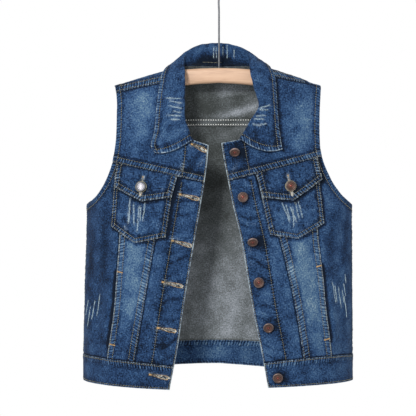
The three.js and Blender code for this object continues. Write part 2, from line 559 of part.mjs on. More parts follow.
function waistband() {
  const heights = steps(3);
  const cut = { top: halfGap, end: SEAM_GAP };
  const thicker = DOUBLE - CLOTH;
  for (const sideName of ['left', 'right']) {
    const side = SIDE[sideName];
    const edgeAt = (z) => along(FRONT_SEAMS, (row) => row[sideName].edge, z);
    const grid = heights.map((part) => {
      const innerZ = lerp(BAND_TOP[sideName].innerZ, BAND_FOOT[sideName].innerZ, part);
      const from = edgeAt(innerZ);
      const outerZ = lerp(BAND_TOP[sideName].outerZ, BAND_FOOT[sideName].outerZ, part);
      const to = clothDistance(FRONT, side, bodyWidth(side, outerZ), outerZ);
      return steps(13).map((t) => {
        const distance = lerp(from, to, t);
        const z = lerp(
          seamHeight(BAND_TOP[sideName], distance),
          seamHeight(BAND_FOOT[sideName], distance),
          part,
        );
        return clothPoint(FRONT, side, distance, z);
      });
    });
    add(`waistband_${sideName}`, wall(drawIn(grid, cut), faceOf(FRONT), DOUBLE, thicker / 2), denim);
  }
  const back = heights.map((part) => {
    const z0 = lerp(BACK_BAND_TOP.side, BACK_BAND_FOOT.side, part);
    const left = clothDistance(BACK, -1, bodyWidth(-1, z0), z0);
    const right = clothDistance(BACK, 1, bodyWidth(1, z0), z0);
    return steps(24).map((t) => {
      const distance = lerp(-left, right, t);
      const side = distance < 0 ? -1 : 1;
      const x = Math.min(Math.abs(distance), bodyWidth(side, z0));
      const z = lerp(backEdge(BACK_BAND_TOP, x, side), backEdge(BACK_BAND_FOOT, x, side), part);
      return clothPoint(BACK, side, Math.abs(distance), z);
    });
  });
  const backCut = { top: halfGap, start: SEAM_GAP, end: SEAM_GAP };
  add('waistband_back', wall(drawIn(back, backCut), faceOf(BACK), DOUBLE, thicker / 2), denim);
}

// Middle of the collar's cloth along one section: up from the neck, over the roll, and down.
function collarSection({ side, foot, rise = -CLOTH / 2, roll, edge, turn, sag, bulge = COLLAR_BULGE }) {
  const base = seenPoint(foot[2], side, foot[0], foot[1], rise);
  const fold = new THREE.Vector3(side * roll[0], roll[1], roll[2]);
  const hem = seenPoint(edge[2], side, edge[0], edge[1], LEAF_LIFT);
  const inward = base.clone().sub(fold).normalize().add(hem.clone().sub(fold).normalize()).normalize();
  const facing = new THREE.Vector3(side * Math.sin(radians(turn)), Math.cos(radians(turn)), 0);
  facing.addScaledVector(inward, -facing.dot(inward)).normalize();
  const centre = fold.clone().addScaledVector(inward, COLLAR_ROLL);
  const onRoll = (t) => centre.clone()
    .addScaledVector(facing, -COLLAR_ROLL * Math.cos(Math.PI * t))
    .addScaledVector(inward, -COLLAR_ROLL * Math.sin(Math.PI * t));
  const stand = steps(3).slice(0, 3).map((t) => base.clone().lerp(onRoll(0), t));
  const over = steps(4).map(onRoll);
  const fall = steps(5).slice(1).map((t) => {
    const point = onRoll(1).lerp(hem, t).addScaledVector(facing, bulge * 4 * t * (1 - t));
    point.z -= sag * 4 * t * (1 - t);
    return point;
  });
  return [...stand, ...over, ...fall];
}

function collar() {
  const sections = COLLAR_ROWS.map(collarSection);
  const count = sections[0].length;
  const strands = Array.from({ length: count }, (unused, i) => (
    new THREE.CatmullRomCurve3(sections.map((section) => section[i]), false, 'centripetal')
  ));
  const between = 34;
  const grid = steps(between).map((t) => strands.map((strand) => strand.getPoint(t)));
  const cut = { start: DOUBLE / 2 - 0.1 };
  add('collar', wall(drawIn(grid, cut), faceOf(BACK), DOUBLE, DOUBLE / 2), denim);
}

// A pointed patch: five corners, rows from the top edge down to the pointed foot.
function pointedPatch(side, shape, lift, rowCount) {
  const place = ([out, z]) => [clothDistance(FRONT, side, out, z), z];
  const [topIn, topOut, footOut, point, footIn] = ['topIn', 'topOut', 'footOut', 'point', 'footIn']
    .map((corner) => place(shape[corner]));
  const tip = (point[0] - footIn[0]) / (footOut[0] - footIn[0]);
  const across = [...steps(4).map((t) => t * tip), ...steps(3).slice(1).map((t) => lerp(tip, 1, t))];
  const footZ = (t) => (t < tip ? lerp(footIn[1], point[1], t / tip) : lerp(point[1], footOut[1], (t - tip) / (1 - tip)));
  return steps(rowCount).map((down) => across.map((t) => {
    const distance = lerp(lerp(topIn[0], topOut[0], t), lerp(footIn[0], footOut[0], t), down);
    const z = lerp(lerp(topIn[1], topOut[1], t), footZ(t), down);
    return liftedPoint(FRONT, side, distance, z, lift);
  }));
}

function chestPocket(sideName) {
  const side = SIDE[sideName];
  const pocket = pointedPatch(side, POCKETS[sideName], LAYER_GAP + CLOTH, 6);
  add(`pocket_${sideName}`, wall(pocket, faceOf(FRONT), CLOTH), denim);
  const flapShape = structuredClone(FLAPS[sideName]);
  flapShape.topIn[1] = seamHeight(YOKE_SEAM[sideName], flapShape.topIn[0]) - FLAP_DROP;
  flapShape.topOut[1] = seamHeight(YOKE_SEAM[sideName], flapShape.topOut[0]) - FLAP_DROP;
  const flapLift = 2 * LAYER_GAP + CLOTH + DOUBLE;
  const flap = pointedPatch(side, flapShape, flapLift, 4);
  add(`pocket_flap_${sideName}`, wall(flap, faceOf(FRONT), DOUBLE), denim);
}

// A tack button: a dished disc with a raised rim, lying on the cloth.
function button(name, side, [out, z], lift, material) {
  const r = BUTTON_D / 2;
  const profile = [
    [0, 0], [r * 0.62, 0], [r * 0.96, BUTTON_TALL * 0.35], [r, BUTTON_TALL * 0.62], [r * 0.9, BUTTON_TALL],
    [r * 0.74, BUTTON_TALL * 0.94], [r * 0.62, BUTTON_TALL * 0.74], [r * 0.3, BUTTON_TALL * 0.8], [0, BUTTON_TALL * 0.86],
  ];
  const sides = 16;
  const disc = new THREE.LatheGeometry(profile.map(([x, y]) => new THREE.Vector2(x, y)), sides);
  const mesh = add(name, disc, material);
  const seat = seenPoint(FRONT, side, out, z, lift);
  const above = seenPoint(FRONT, side, out, z, lift + 1);
  mesh.position.copy(seat);
  mesh.quaternion.setFromUnitVectors(new THREE.Vector3(0, 1, 0), above.sub(seat).normalize());
}

function buttons() {
  EDGE_BUTTONS.forEach((place, i) => {
    const onBand = i === EDGE_BUTTONS.length - 1;
    const lift = LAYER_GAP + (onBand ? (DOUBLE - CLOTH) / 2 : 0);
    button(`button_${i + 1}`, SIDE.right, place, lift, copper);
  });
  const flapTop = 3 * LAYER_GAP + CLOTH + DOUBLE;
  button('flap_button_left', SIDE.left, FLAP_BUTTONS.left, flapTop, silver);
  button('flap_button_right', SIDE.right, FLAP_BUTTONS.right, flapTop, copper);
}

// Hanger bar: stations out from the middle, with the top and foot of the wood.
const BAR = [
  { out: 0, top: -171.7, foot: -197 },
  { out: 30, top: -172.4, foot: -198.6 },
  { out: 58, top: -174.3, foot: -201.4 },
  { out: 80, top: -177.2, foot: -205.2 },
  { out: 104, top: -182.4, foot: -210.4 },
  { out: 130, top: -190.0, foot: -216.6 },
  { out: 150, top: -196.6, foot: -221.6 },
  { out: 165, top: -202.0, foot: -225.6 },
];

function hanger() {
  const stations = [...BAR.slice(1).reverse().map((row) => ({ ...row, out: -row.out })), ...BAR];
  const ring = 12;
  const half = BAR_THICK / 2;
  const positions = [];
  for (const { out, top, foot } of stations) {
    for (let i = 0; i < ring; i += 1) {
      const angle = (i + 0.5) / ring * 2 * Math.PI;
      const upper = Math.sin(angle) > 0;
      const z = (upper ? top - half : foot + half) + half * Math.sin(angle);
      positions.push(out, half * Math.cos(angle), z);
    }
  }
  const faces = [];
  for (let s = 0; s < stations.length - 1; s += 1) {
    for (let i = 0; i < ring; i += 1) {
      const a = s * ring + i;
      const b = s * ring + ((i + 1) % ring);
      faces.push(a, b, b + ring, a, b + ring, a + ring);
    }
  }
  const endFan = (first, flip) => {
    for (let i = 1; i < ring - 1; i += 1) {
      faces.push(first, first + (flip ? i : i + 1), first + (flip ? i + 1 : i));
    }
  };
  endFan(0, false);
  endFan((stations.length - 1) * ring, true);
  add('hanger_bar', facingOut(positions, faces), wood);

  const middle = HOOK_INSIDE + WIRE / 2;
  const points = [];
  const tip = 90 + HOOK_TURN / 2 + 20;
  for (const t of steps(16)) {
    const angle = radians(tip - t * HOOK_TURN);
    points.push(new THREE.Vector3(middle * Math.cos(angle), 0, middle * Math.sin(angle) - HOOK_INSIDE));
  }
  const leave = points[points.length - 1];
  const bendEnd = leave.z - STEM_BEND / 2;
  points.push(new THREE.Vector3(leave.x * 0.42, 0, lerp(leave.z, bendEnd, 0.5)));
  points.push(new THREE.Vector3(0.6, 0, bendEnd));
  const stemFoot = BAR[0].top + 0.3;
  for (const t of steps(4).slice(1)) points.push(new THREE.Vector3(0, 0, lerp(bendEnd, stemFoot, t)));
  const path = new THREE.CatmullRomCurve3(points, false, 'centripetal');
  const section = new THREE.Shape().absarc(0, 0, WIRE / 2, 0, 2 * Math.PI);
  const wire = new THREE.ExtrudeGeometry(section, { steps: 46, curveSegments: 5, extrudePath: path });
  add('hanger_hook', wire, steel);
}

backYoke();
backPanels();
for (const sideName of ['left', 'right']) {
  frontYoke(sideName);
  frontPanels(sideName);
  chestPocket(sideName);
}
waistband();
collar();
buttons();
hanger();

export default vest;
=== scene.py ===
# Denim vest on a wooden hanger. Sizes are millimetres until a mesh is made, in the part's
# own frame: X to the viewer's right, Z up, the open front toward -Y, the origin inside the
# hook's crown. Left and right are the viewer's.
#
# Every cloth piece lies on a flat pattern with two coordinates, a across and b up. Seams,
# stitches, relief, wear and fading are worked out on the pattern and carried to the cloth.
import math

import bpy
import numpy as np
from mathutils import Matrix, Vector


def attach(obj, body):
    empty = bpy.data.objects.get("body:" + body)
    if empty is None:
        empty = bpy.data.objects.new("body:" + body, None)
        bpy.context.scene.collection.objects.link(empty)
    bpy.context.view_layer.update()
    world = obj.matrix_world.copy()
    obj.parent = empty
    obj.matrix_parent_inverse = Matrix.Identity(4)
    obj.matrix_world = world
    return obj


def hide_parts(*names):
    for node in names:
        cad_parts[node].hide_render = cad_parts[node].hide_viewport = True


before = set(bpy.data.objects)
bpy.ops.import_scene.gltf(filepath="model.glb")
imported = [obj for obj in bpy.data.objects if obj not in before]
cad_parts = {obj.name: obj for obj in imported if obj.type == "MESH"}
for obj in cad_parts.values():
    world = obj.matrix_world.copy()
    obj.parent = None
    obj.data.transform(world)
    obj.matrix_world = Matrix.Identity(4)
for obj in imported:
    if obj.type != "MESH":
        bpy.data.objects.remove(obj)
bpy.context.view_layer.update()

MM = 0.001
rng = np.random.default_rng(11)

# cloth and sewing
CLOTH = 1.2
DOUBLE = 2.2
LAYER_GAP = 0.6
SEAM_GAP = 0.08
FACING = 38.0
FRONT_STEP = 1.9              # distance between mesh lines away from the edges
BACK_STEP = 2.6
STITCH_PITCH = 3.1
STITCH_PART = 0.52            # part of the pitch that shows as thread
STITCH_RADIUS = 0.37
STITCH_PROUD = 0.2
INSIDE_PITCH = 4.3            # the coarser rows that show inside the back yoke
INSIDE_RADIUS = 0.85
TACK_RADIUS = 0.42            # thread of bar tacks and buttonholes
RING_RADIUS = 0.36            # thread round a flap's button
BAR_SIDES = 4                 # a bar of thread: its sides, and each ring's place and swell
BAR_RINGS = ((-0.5, 0.35), (-0.28, 1.0), (0.28, 1.0), (0.5, 0.35))
EDGE_LINES = (0.0, 0.7, 1.6, 2.8, 4.3)    # mesh lines beside each edge of a piece
LINE_POINTS = 64              # most points that an edge or seam keeps

# how the cloth hangs away from the shoulder line
FALL = 250.0
FRONT = {"face": -1, "depth": 50.0, "turn": 130.0, "swing": 28.0}
BACK = {"face": 1, "depth": 45.0, "turn": 75.0, "swing": 0.0}
SWING_FROM = 150.0
SWING_OVER = 410.0

SHOULDER = [(-178.5, -202.3), (-93.5, -176.8), (0, -145), (102, -176.5), (172.5, -202.3)]

# z, left, right
SIDES = [
    (-400, 224.4, 225.3), (-460, 225.0, 225.5), (-520, 227.0, 225.9),
    (-580, 228.5, 226.2), (-640, 229.8, 226.6), (-706, 230.4, 227.0),
]

# z, then out from the middle: edge, inner and outer seam of the left front, then the right
FRONT_SEAMS = [
    (-305, 17.7, 72.0, 164.0, 3.9, 44.0, 161.6),
    (-340, 20.5, 79.6, 164.1, 10.2, 56.0, 161.8),
    (-400, 30.2, 93.4, 164.7, 21.7, 76.2, 162.3),
    (-460, 40.5, 105.7, 165.9, 36.0, 99.5, 164.9),
    (-520, 50.5, 116.4, 170.2, 46.1, 114.6, 172.2),
    (-580, 60.2, 126.2, 174.6, 56.2, 126.7, 177.6),
    (-640, 68.8, 136.5, 182.3, 68.1, 136.2, 184.3),
    (-706, 81.3, 146.0, 191.0, 80.0, 145.0, 191.5),
]
SEAM_COLUMN = {("left", "edge"): 1, ("left", "inner"): 2, ("left", "outer"): 3,
               ("right", "edge"): 4, ("right", "inner"): 5, ("right", "outer"): 6}

# z, then out from the middle: front left, front right, back left, back right
ARMHOLE = [
    (-203, 177.8, 173.1, 176.0, 171.5), (-214, 174.2, 171.8, 172.8, 170.0),
    (-231, 172.2, 170.3, 171.0, 168.3), (-253, 172.0, 168.9, 170.0, 166.9),
    (-272, 172.1, 168.4, 170.0, 166.4), (-292, 172.9, 168.4, 170.9, 166.4),
    (-313, 175.3, 169.6, 173.3, 167.6), (-333, 178.6, 174.5, 176.6, 172.5),
    (-353, 185.3, 183.0, 183.3, 181.0), (-373, 194.8, 194.2, 192.8, 192.2),
    (-391, 207.0, 208.3, 205.0, 206.3), (-404, 224.4, 225.3, 224.4, 225.3),
]
ARM_COLUMN = {("front", "left"): 1, ("front", "right"): 2, ("back", "left"): 3, ("back", "right"): 4}
ARMPIT = -404.0
ARMPIT_PART = 0.25            # part of a lower panel's mesh rows that lies above the armpit

# cross seams: distance and height of the inner end, of the outer end, rise of the middle
YOKE_SEAM = {"left": (24.5, -367.0, 185.0, -332.6, 0.4), "right": (14.5, -364.5, 174.3, -323.4, 0.2)}
BAND_TOP = {"left": (73.7, -670.6, 304.0, -656.8, 3.7), "right": (71.5, -665.0, 301.0, -659.5, 6.6)}
BAND_FOOT = {"left": (81.8, -708.2, 304.0, -699.5, 0.6), "right": (79.7, -704.9, 301.0, -700.5, 1.6)}
BACK_YOKE_Z = -267.0
# back band: height in the middle, at the sides, and the power of the sag to the left and right
BACK_BAND_TOP = (-638.0, -656.5, 2.0, 1.6)
BACK_BAND_FOOT = (-678.5, -699.5, 2.0, 1.15)
BACK_SEAM = (108.0, 88.0)

# armhole height, then out and height on the neck and front edge
YOKE_ROWS = {
    "left": [
        (-214.5, 76.5, -194), (-227, 75.5, -216), (-240, 71, -243), (-252, 63, -266),
        (-263, 53, -284), (-274, 42, -297), (-285, 30, -301), (-296, 17.7, -304.8),
        (-308, 19.6, -330), (-320, 22, -348), (-332.6, 24.5, -367.0),
    ],
    "right": [
        (-203.6, 74, -184), (-216, 76.5, -206), (-229, 78, -226), (-241, 78, -241),
        (-252, 71.5, -257), (-263, 58, -276), (-273, 38, -294.5), (-283, 20, -298.5),
        (-295, 3.4, -301.5), (-309, 8.6, -333), (-323.4, 14.5, -364.5),
    ],
}

YOKE_CORNER_Z = -301.4        # from here down a front yoke's inner edge is its front edge

# seam, crest and top out from the middle (signed), height of the top or None on a
# shoulder seam, and the sheet that the top lies on
BACK_YOKE_ROWS = [
    (-169.9, -177.8, -174.2, None, FRONT), (-150, -153, -152, None, FRONT),
    (-128, -128, -127, None, FRONT), (-106, -102, -102, None, FRONT),
    (-84, -75.5, -76.5, None, FRONT), (-80, -75.8, -76.3, -181, FRONT),
    (-77, -75.5, -75, -170.6, BACK), (-72, -71, -71, -170.5, BACK),
    (-60, -59, -58, -167.2, BACK), (-40, -39, -38, -166.4, BACK),
    (-20, -19.5, -19, -166.8, BACK), (0, 0, 0, -167, BACK),
    (20, 19.5, 19, -166.8, BACK), (40, 39, 38, -166.4, BACK),
    (60, 58.5, 57, -167, BACK), (70, 69, 69, -169.5, BACK),
    (75, 73.7, 73.5, -167.7, BACK), (78, 74, 74.2, -176, FRONT),
    (82, 74, 74, None, FRONT), (104, 100, 100, None, FRONT),
    (125, 124, 124, None, FRONT), (146, 148, 148, None, FRONT),
    (166.3, 172.6, 172.5, None, FRONT),
]

# collar: side, foot (out, z, sheet, rise), roll (out, y, z), edge (out, z, sheet), turn, sag
# and, where it differs, bulge
COLLAR_ROWS = [
    (-1, (42, -297, FRONT, 1.8), (45, -50, -299), (107, -318, FRONT), 180, 8),
    (-1, (53, -284, FRONT, 1.2), (51.5, -48, -280), (113, -307, FRONT), 180, 4),
    (-1, (63, -266, FRONT, -0.6), (58, -44.5, -260), (107.5, -283, FRONT), 180, 1),
    (-1, (71, -243, FRONT, -0.6), (58, -40, -237), (105, -255, FRONT), 180, 0),
    (-1, (75.5, -216, FRONT, -0.6), (58, -33.5, -210), (102, -224, FRONT), 180, 0),
    (-1, (76.5, -194, FRONT, -0.6), (58.5, -24, -185), (98.5, -199, FRONT), 165, 0),
    (-1, (76.5, -180, FRONT, -0.6), (59.5, -8, -165), (93.5, -181, FRONT), 140, 0),
    (-1, (73.5, -170.2, BACK, -0.6), (59.5, 6, -149.5), (88.5, -172.6, BACK), 90, 0, 0.4),
    (-1, (58, -167.2, BACK, -0.6), (52.5, 14, -141.2), (78, -181, BACK), 45, 0),
    (-1, (38, -166.4, BACK, -0.6), (33, 22, -130.6), (48, -180, BACK), 20, 0),
    (1, (0, -167, BACK, -0.6), (0, 26, -127), (0, -178, BACK), 0, 0),
    (1, (38, -166.4, BACK, -0.6), (34, 20, -133.6), (50, -180, BACK), 20, 0),
    (1, (57, -167, BACK, -0.6), (48, 14, -141), (77, -180, BACK), 45, 0),
    (1, (70, -168.2, BACK, -0.6), (53.5, 7, -148), (83.5, -168.2, BACK), 90, 0, 0.4),
    (1, (74, -177, FRONT, -0.6), (53, -7, -161), (88, -177.5, FRONT), 140, 0),
    (1, (74.5, -189, FRONT, -0.6), (52.5, -21, -178), (94, -193, FRONT), 165, 0),
    (1, (76.5, -206, FRONT, -0.6), (57, -31, -200), (95.5, -213, FRONT), 180, 0),
    (1, (78, -226, FRONT, -0.6), (63.5, -37, -222), (96.5, -235, FRONT), 180, 0),
    (1, (78, -241, FRONT, -0.6), (67, -40.5, -239), (97.5, -254, FRONT), 180, 0),
    (1, (71.5, -257, FRONT, -0.6), (58, -43.5, -256), (99, -275, FRONT), 180, 1),
    (1, (58, -276, FRONT, 0.6), (45.5, -47, -276), (102, -296, FRONT), 180, 5),
    (1, (38, -294.5, FRONT, 1.8), (34, -50, -297), (104.6, -312, FRONT), 180, 10),
]
COLLAR_ROLL = 2.2
COLLAR_BULGE = 2.5
LEAF_LIFT = 2.6
# painted shade on the part of the collar's stand that lies under the roll
STAND_SHADE = (62, 92)         # up from the leaf's edge, where the stand gets dark

# pockets and flaps: out and height of top inner, top outer, foot outer, point, foot inner
POCKETS = {
    "left": ((76, -372), (173.8, -350), (179, -440), (140.6, -468), (89, -458)),
    "right": ((66, -372), (164.5, -345), (174.5, -435), (129.7, -461), (84, -454)),
}
FLAPS = {
    "left": ((69.7, -358.4), (169.2, -333.2), (174.2, -374), (129, -399), (79, -392)),
    "right": ((61.4, -352.8), (162.6, -321.5), (170.6, -362), (122.5, -397.5), (71.4, -392.4)),
}
FLAP_DROP = 0.8

# main folds: sheet, side, out, z, half length, half width, height, lean
FOLDS = [
    (FRONT, -1, 205, -560, 95, 13, -3.2, 0.06), (FRONT, -1, 186, -640, 60, 11, 1.8, 0.05),
    (FRONT, 1, 204, -545, 100, 14, -3.4, -0.04), (FRONT, 1, 188, -628, 55, 12, 1.6, 0.04),
    (FRONT, -1, 192, -420, 45, 14, 2.2, 0.35), (FRONT, 1, 196, -425, 42, 15, 2.0, 0.3),
    (FRONT, -1, 120, -285, 55, 22, 2.0, -0.25), (FRONT, 1, 124, -275, 60, 20, 1.8, -0.2),
    (BACK, -1, 122, -440, 120, 18, -3.0, -0.08), (BACK, 1, 116, -470, 130, 20, -3.4, -0.05),
    (BACK, 1, 10, -560, 90, 26, -2.2, 0.03), (BACK, -1, 52, -380, 80, 20, 1.8, 0.06),
]

# smaller creases, by the same columns
CREASES = [
    (FRONT, -1, 46, -338, 24, 7, -1.6, -0.7), (FRONT, -1, 32, -336, 22, 6, 1.4, -0.8),
    (FRONT, -1, 40, -345, 20, 6, -1.2, 0.8), (FRONT, 1, 30, -335, 22, 7, 1.4, 0.5),
    (FRONT, 1, 44, -330, 26, 7, -1.3, 0.2), (FRONT, -1, 62, -345, 26, 8, 1.1, -0.3),
    (FRONT, -1, 118, -300, 44, 10, -1.1, -0.5), (FRONT, 1, 122, -292, 46, 10, -1.1, 0.45),
    (FRONT, -1, 150, -250, 40, 9, 0.9, -0.15), (FRONT, 1, 152, -240, 40, 9, 0.9, 0.1),
    (FRONT, -1, 84, -430, 60, 8, -0.7, -0.05), (FRONT, -1, 92, -560, 90, 9, -0.9, -0.12),
    (FRONT, 1, 78, -500, 60, 8, -0.7, -0.15), (FRONT, 1, 96, -590, 70, 9, -0.9, -0.16),
    (FRONT, -1, 145, -600, 40, 7, -0.9, -0.5), (FRONT, -1, 138, -570, 34, 6, 0.7, -0.6),
    (FRONT, 1, 150, -610, 36, 7, -0.8, 0.5), (FRONT, 1, 128, -560, 30, 6, -0.6, 0.3),
    (FRONT, -1, 216, -500, 70, 8, -1.0, 0.02), (FRONT, 1, 214, -480, 70, 8, -1.0, -0.02),
    (FRONT, -1, 190, -480, 60, 9, -1.2, -0.06), (FRONT, 1, 186, -480, 60, 9, -1.2, 0.05),
    (BACK, -1, 60, -300, 40, 8, -0.9, 0.3), (BACK, 1, 74, -320, 50, 9, -1.0, -0.3),
    (BACK, -1, 20, -470, 90, 11, 1.0, 0.1), (BACK, 1, 60, -400, 70, 10, -0.9, 0.15),
    (BACK, -1, 170, -520, 80, 9, -1.2, 0.04), (BACK, 1, 172, -540, 70, 9, -1.1, -0.05),
    (BACK, -1, 130, -350, 70, 11, -1.5, -0.55), (BACK, 1, 134, -360, 60, 11, -1.4, 0.5),
    (BACK, -1, 44, -590, 90, 13, -1.8, -0.1), (BACK, 1, 40, -600, 80, 12, -1.6, 0.14),
    (BACK, -1, 150, -610, 60, 10, 1.3, 0.12), (BACK, 1, 144, -600, 70, 11, 1.3, -0.1),
]
SMALL_CREASES = 90            # more, scattered at random over both sheets

# washed-out places, some of them painted light and shade: sheet, side, out, z, half width, half height, lean,
# strength
WASH_AND_LIGHT = [
    (FRONT, -1, 127, -232, 26, 46, -0.1, 0.38), (FRONT, -1, 112, -300, 44, 36, 0.0, 0.16),
    (FRONT, 1, 137, -262, 26, 50, 0.1, 0.38), (FRONT, 1, 124, -222, 30, 24, 0.0, -0.12),
    (FRONT, -1, 136, -500, 30, 60, 0.1, 0.26), (FRONT, -1, 144, -575, 26, 46, 0.1, 0.20),
    (FRONT, 1, 138, -500, 30, 56, -0.08, 0.38), (FRONT, 1, 158, -580, 24, 44, -0.1, 0.34),
    (FRONT, -1, 78, -520, 14, 90, -0.16, 0.10), (FRONT, 1, 84, -540, 14, 80, -0.16, 0.08),
    (BACK, -1, 100, -400, 60, 110, 0.0, 0.2), (BACK, 1, 100, -400, 60, 110, 0.0, 0.2),
    (BACK, -1, 110, -215, 34, 26, 0.0, 0.3), (BACK, 1, 110, -215, 34, 26, 0.0, 0.3),
    (BACK, -1, 180, -520, 24, 90, 0.0, 0.15), (BACK, 1, 180, -520, 24, 90, 0.0, 0.15),
    (FRONT, -1, 130, -202, 60, 14, 0.0, -0.17), (FRONT, 1, 118, -318, 40, 22, 0.0, 0.06),
    (FRONT, 1, 80, -290, 26, 26, 0.0, -0.12), (FRONT, -1, 142, -640, 30, 40, 0.0, -0.18),
    (FRONT, -1, 100, -600, 20, 60, -0.1, -0.08), (FRONT, 1, 75, -610, 20, 90, -0.12, 0.1),
    # the back rows from here down paint the light and shade seen inside the back through the front opening,
    # and tint its outside too
    (BACK, 1, 34, -580, 66, 120, 0.0, 0.39), (BACK, -1, 48, -520, 32, 140, 0.0, 0.31),
    (BACK, 1, 36, -243, 26, 17, 2.6, 0.54), (BACK, 1, 34, -204, 40, 11, 0.0, 0.28),
    (BACK, 1, 42, -217, 20, 6, 5.4, -0.18), (BACK, 1, 0, -300, 30, 16, 0.0, -0.08),
    (BACK, -1, 28, -224, 30, 24, 0.0, -0.1), (BACK, 1, 4, -209, 22, 10, 0.0, 0.22),
    (BACK, -1, 18, -236, 18, 12, 0.0, -0.17), (BACK, 1, 30, -276, 24, 18, 1.5, 0.24),
    (FRONT, -1, 74, -236, 18, 46, 0.0, 0.08), (FRONT, -1, 100, -425, 16, 30, 0.0, 0.08),
    (BACK, -1, 30, -380, 70, 110, 0.0, -0.12), (BACK, 1, 14, -330, 60, 70, 0.0, -0.12),
    (BACK, -1, 50, -190, 40, 30, 0.0, -0.12),
]

# How an edge is finished: stitch rows as distances from the edge, width and height of the
# doubled strip, strength of the ladder of wear on it, of the pale edge, of the dark line past it
# (painted shadow beside the raised strip, with some dye left dark there), and the width of that
# dark line where it isn't the usual one.
FINISH = {
    "yoke": dict(rows=(1.8, 9.5), strip=11, lift=0.8, ladder=0.8, edge=0.25, dark=0.55),
    # under: its dark line is a painted shadow that the neighbouring strip casts over the seam
    "under": dict(rows=(), strip=3, lift=-0.5, ladder=0.0, edge=0.0, dark=1.0, wide=2.0),
    "felled": dict(rows=(2.0, 10.5), strip=12, lift=0.9, ladder=0.7, edge=0.3, dark=0.3),
    "pocket_mouth": dict(rows=(1.8, 10.5), strip=12, lift=0.8, ladder=0.6, edge=0.6, dark=0.2),
    # slit: its dark is painted shade inside the open mouth of the hand pocket
    "slit": dict(rows=(), strip=12, lift=-0.8, ladder=0.0, edge=0.0, dark=2.8, wide=5.0),
    "neck": dict(rows=(5.0,), strip=6, lift=0.3, ladder=0.5, edge=0.6, dark=0.2),
    "shoulder": dict(rows=(2.0, 9.5), strip=12, lift=0.7, ladder=0.85, edge=0.2, dark=0.4),
    "front_edge": dict(rows=(2.0,), strip=4, lift=0.2, ladder=0.35, edge=0.7, dark=0.1),
    "placket": dict(rows=(0.0,), strip=4, lift=0.0, ladder=0.5, edge=0.1, dark=0.35),
    "armhole": dict(rows=(9.5,), strip=11, lift=0.5, ladder=0.45, edge=0.3, dark=0.3),
    "flap": dict(rows=(2.0, 8.5), strip=10, lift=0.35, ladder=0.85, edge=0.38, dark=0.35),
    "patch": dict(rows=(1.6, 7.0), strip=8, lift=0.35, ladder=0.75, edge=0.3, dark=0.35),
    "band_top": dict(rows=(2.2,), strip=9, lift=0.3, ladder=0.7, edge=0.35, dark=0.15),
    "hem": dict(rows=(2.8,), strip=5, lift=0.2, ladder=0.5, edge=0.45, dark=0.2),
    "collar": dict(rows=(6.5,), strip=8, lift=0.3, ladder=0.6, edge=0.42, dark=0.3),
    "stand": dict(rows=(5.5,), strip=9, lift=0.2, ladder=0.5, edge=0.0, dark=0.5),
    "plain": dict(rows=(), strip=1, lift=0.0, ladder=0.0, edge=0.1, dark=0.2),
}
PUCKER = 8.5                  # length of a soft pucker along a sewn strip
PUCKER_HIGH = 0.42            # its height on the strip, and past it
PUCKER_PAST = 0.3
PAST_STRIP = 8.0              # how far puckers run on past a strip
STRIP_SOFT = 1.2              # half width of the slope at a strip's inner side
EDGE_DIP = 0.3                # how much an edge and a stitch row sink in
ROW_DIP = 0.22
CODE = 20.0                   # distances go to the material as parts of this
BESIDE = 5.0                  # from a strip to the worn ridge that runs along it
NO_ROW = 400.0                # stands for a row that an edge hasn't
FORWARD = 0.5                 # how much a nearer layer counts when a place is looked up

# open part of each slanted hand pocket: height of its top and foot
SLITS = {"left": (-516.4, -636.3), "right": (-506.6, -627.5)}

# worn hairs: the piece, then each stroke's ends as seen from the front, x and z
STROKES = {
    "pocket_left": [(-148, -393, -150, -434), (-142, -402, -141, -439), (-133, -406, -136, -448),
                    (-130, -406, -131, -432), (-123, -401, -127, -431)],
    "pocket_right": [(104, -401, 117, -434), (111, -404, 117, -431), (117, -407, 129, -435),
                     (122, -409, 123, -442), (126, -400, 132, -428), (131, -398, 138, -426)],
    "front_side_left": [(-201, -553, -207, -592), (-210, -564, -215, -597), (-217, -574, -222, -611),
                        (-221, -563, -225, -593)],
    "front_side_right": [(189, -532, 196, -569), (194, -539, 199, -568), (202, -542, 207, -577),
                         (213, -520, 215, -536), (211, -536, 215, -558), (212, -555, 216, -594),
                         (209, -546, 212, -570)],
    "collar": [(-90, -226, -63, -227), (-82, -231, -62, -235), (-84, -239, -62, -244),
               (-77, -248, -63, -251), (-87, -255, -63, -256), (-81, -262, -65, -263), (69, -243, 85, -238),
               (67, -246, 82, -246), (61, -256, 78, -256), (58, -261, 75, -262),
               (56, -271, 66, -272), (66, -272, 79, -269), (-9, -134, -9, -154),
               (-5, -134, -4, -153), (7, -132, 7, -148), (14, -130, 14, -154), (26, -138, 26, -153)],
}

# tack buttons: out, z, tilt in degrees that lets the head look down
EDGE_BUTTONS = [(25.6, -316.4, 42), (39, -391.8, 2), (54.9, -465.6, 40), (64.9, -532.9, 4),
                (80.3, -606.2, 26), (95.6, -687.8, 20)]
FLAP_BUTTONS = {"left": (129.3, -374.8), "right": (118.1, -373.6)}
BUTTON_D = 17.0
BUTTON_TALL = 3.4
BUTTON_TURNS = 40
# a button's face from its rim to its middle: radius and height as parts of the head's
BUTTON_RINGS = ((1.0, 0.55), (0.97, 0.8), (0.9, 0.98), (0.82, 1.0), (0.76, 0.9), (0.72, 0.78), (0.66, 0.74),
                (0.62, 0.8), (0.57, 0.84), (0.52, 0.78), (0.46, 0.73), (0.41, 0.79), (0.36, 0.84),
                (0.31, 0.79), (0.27, 0.72), (0.22, 0.78), (0.15, 0.9), (0.07, 0.95), (0.0, 0.96))
SHADOW_FALL = (2.4, -1.4)     # to the right and down

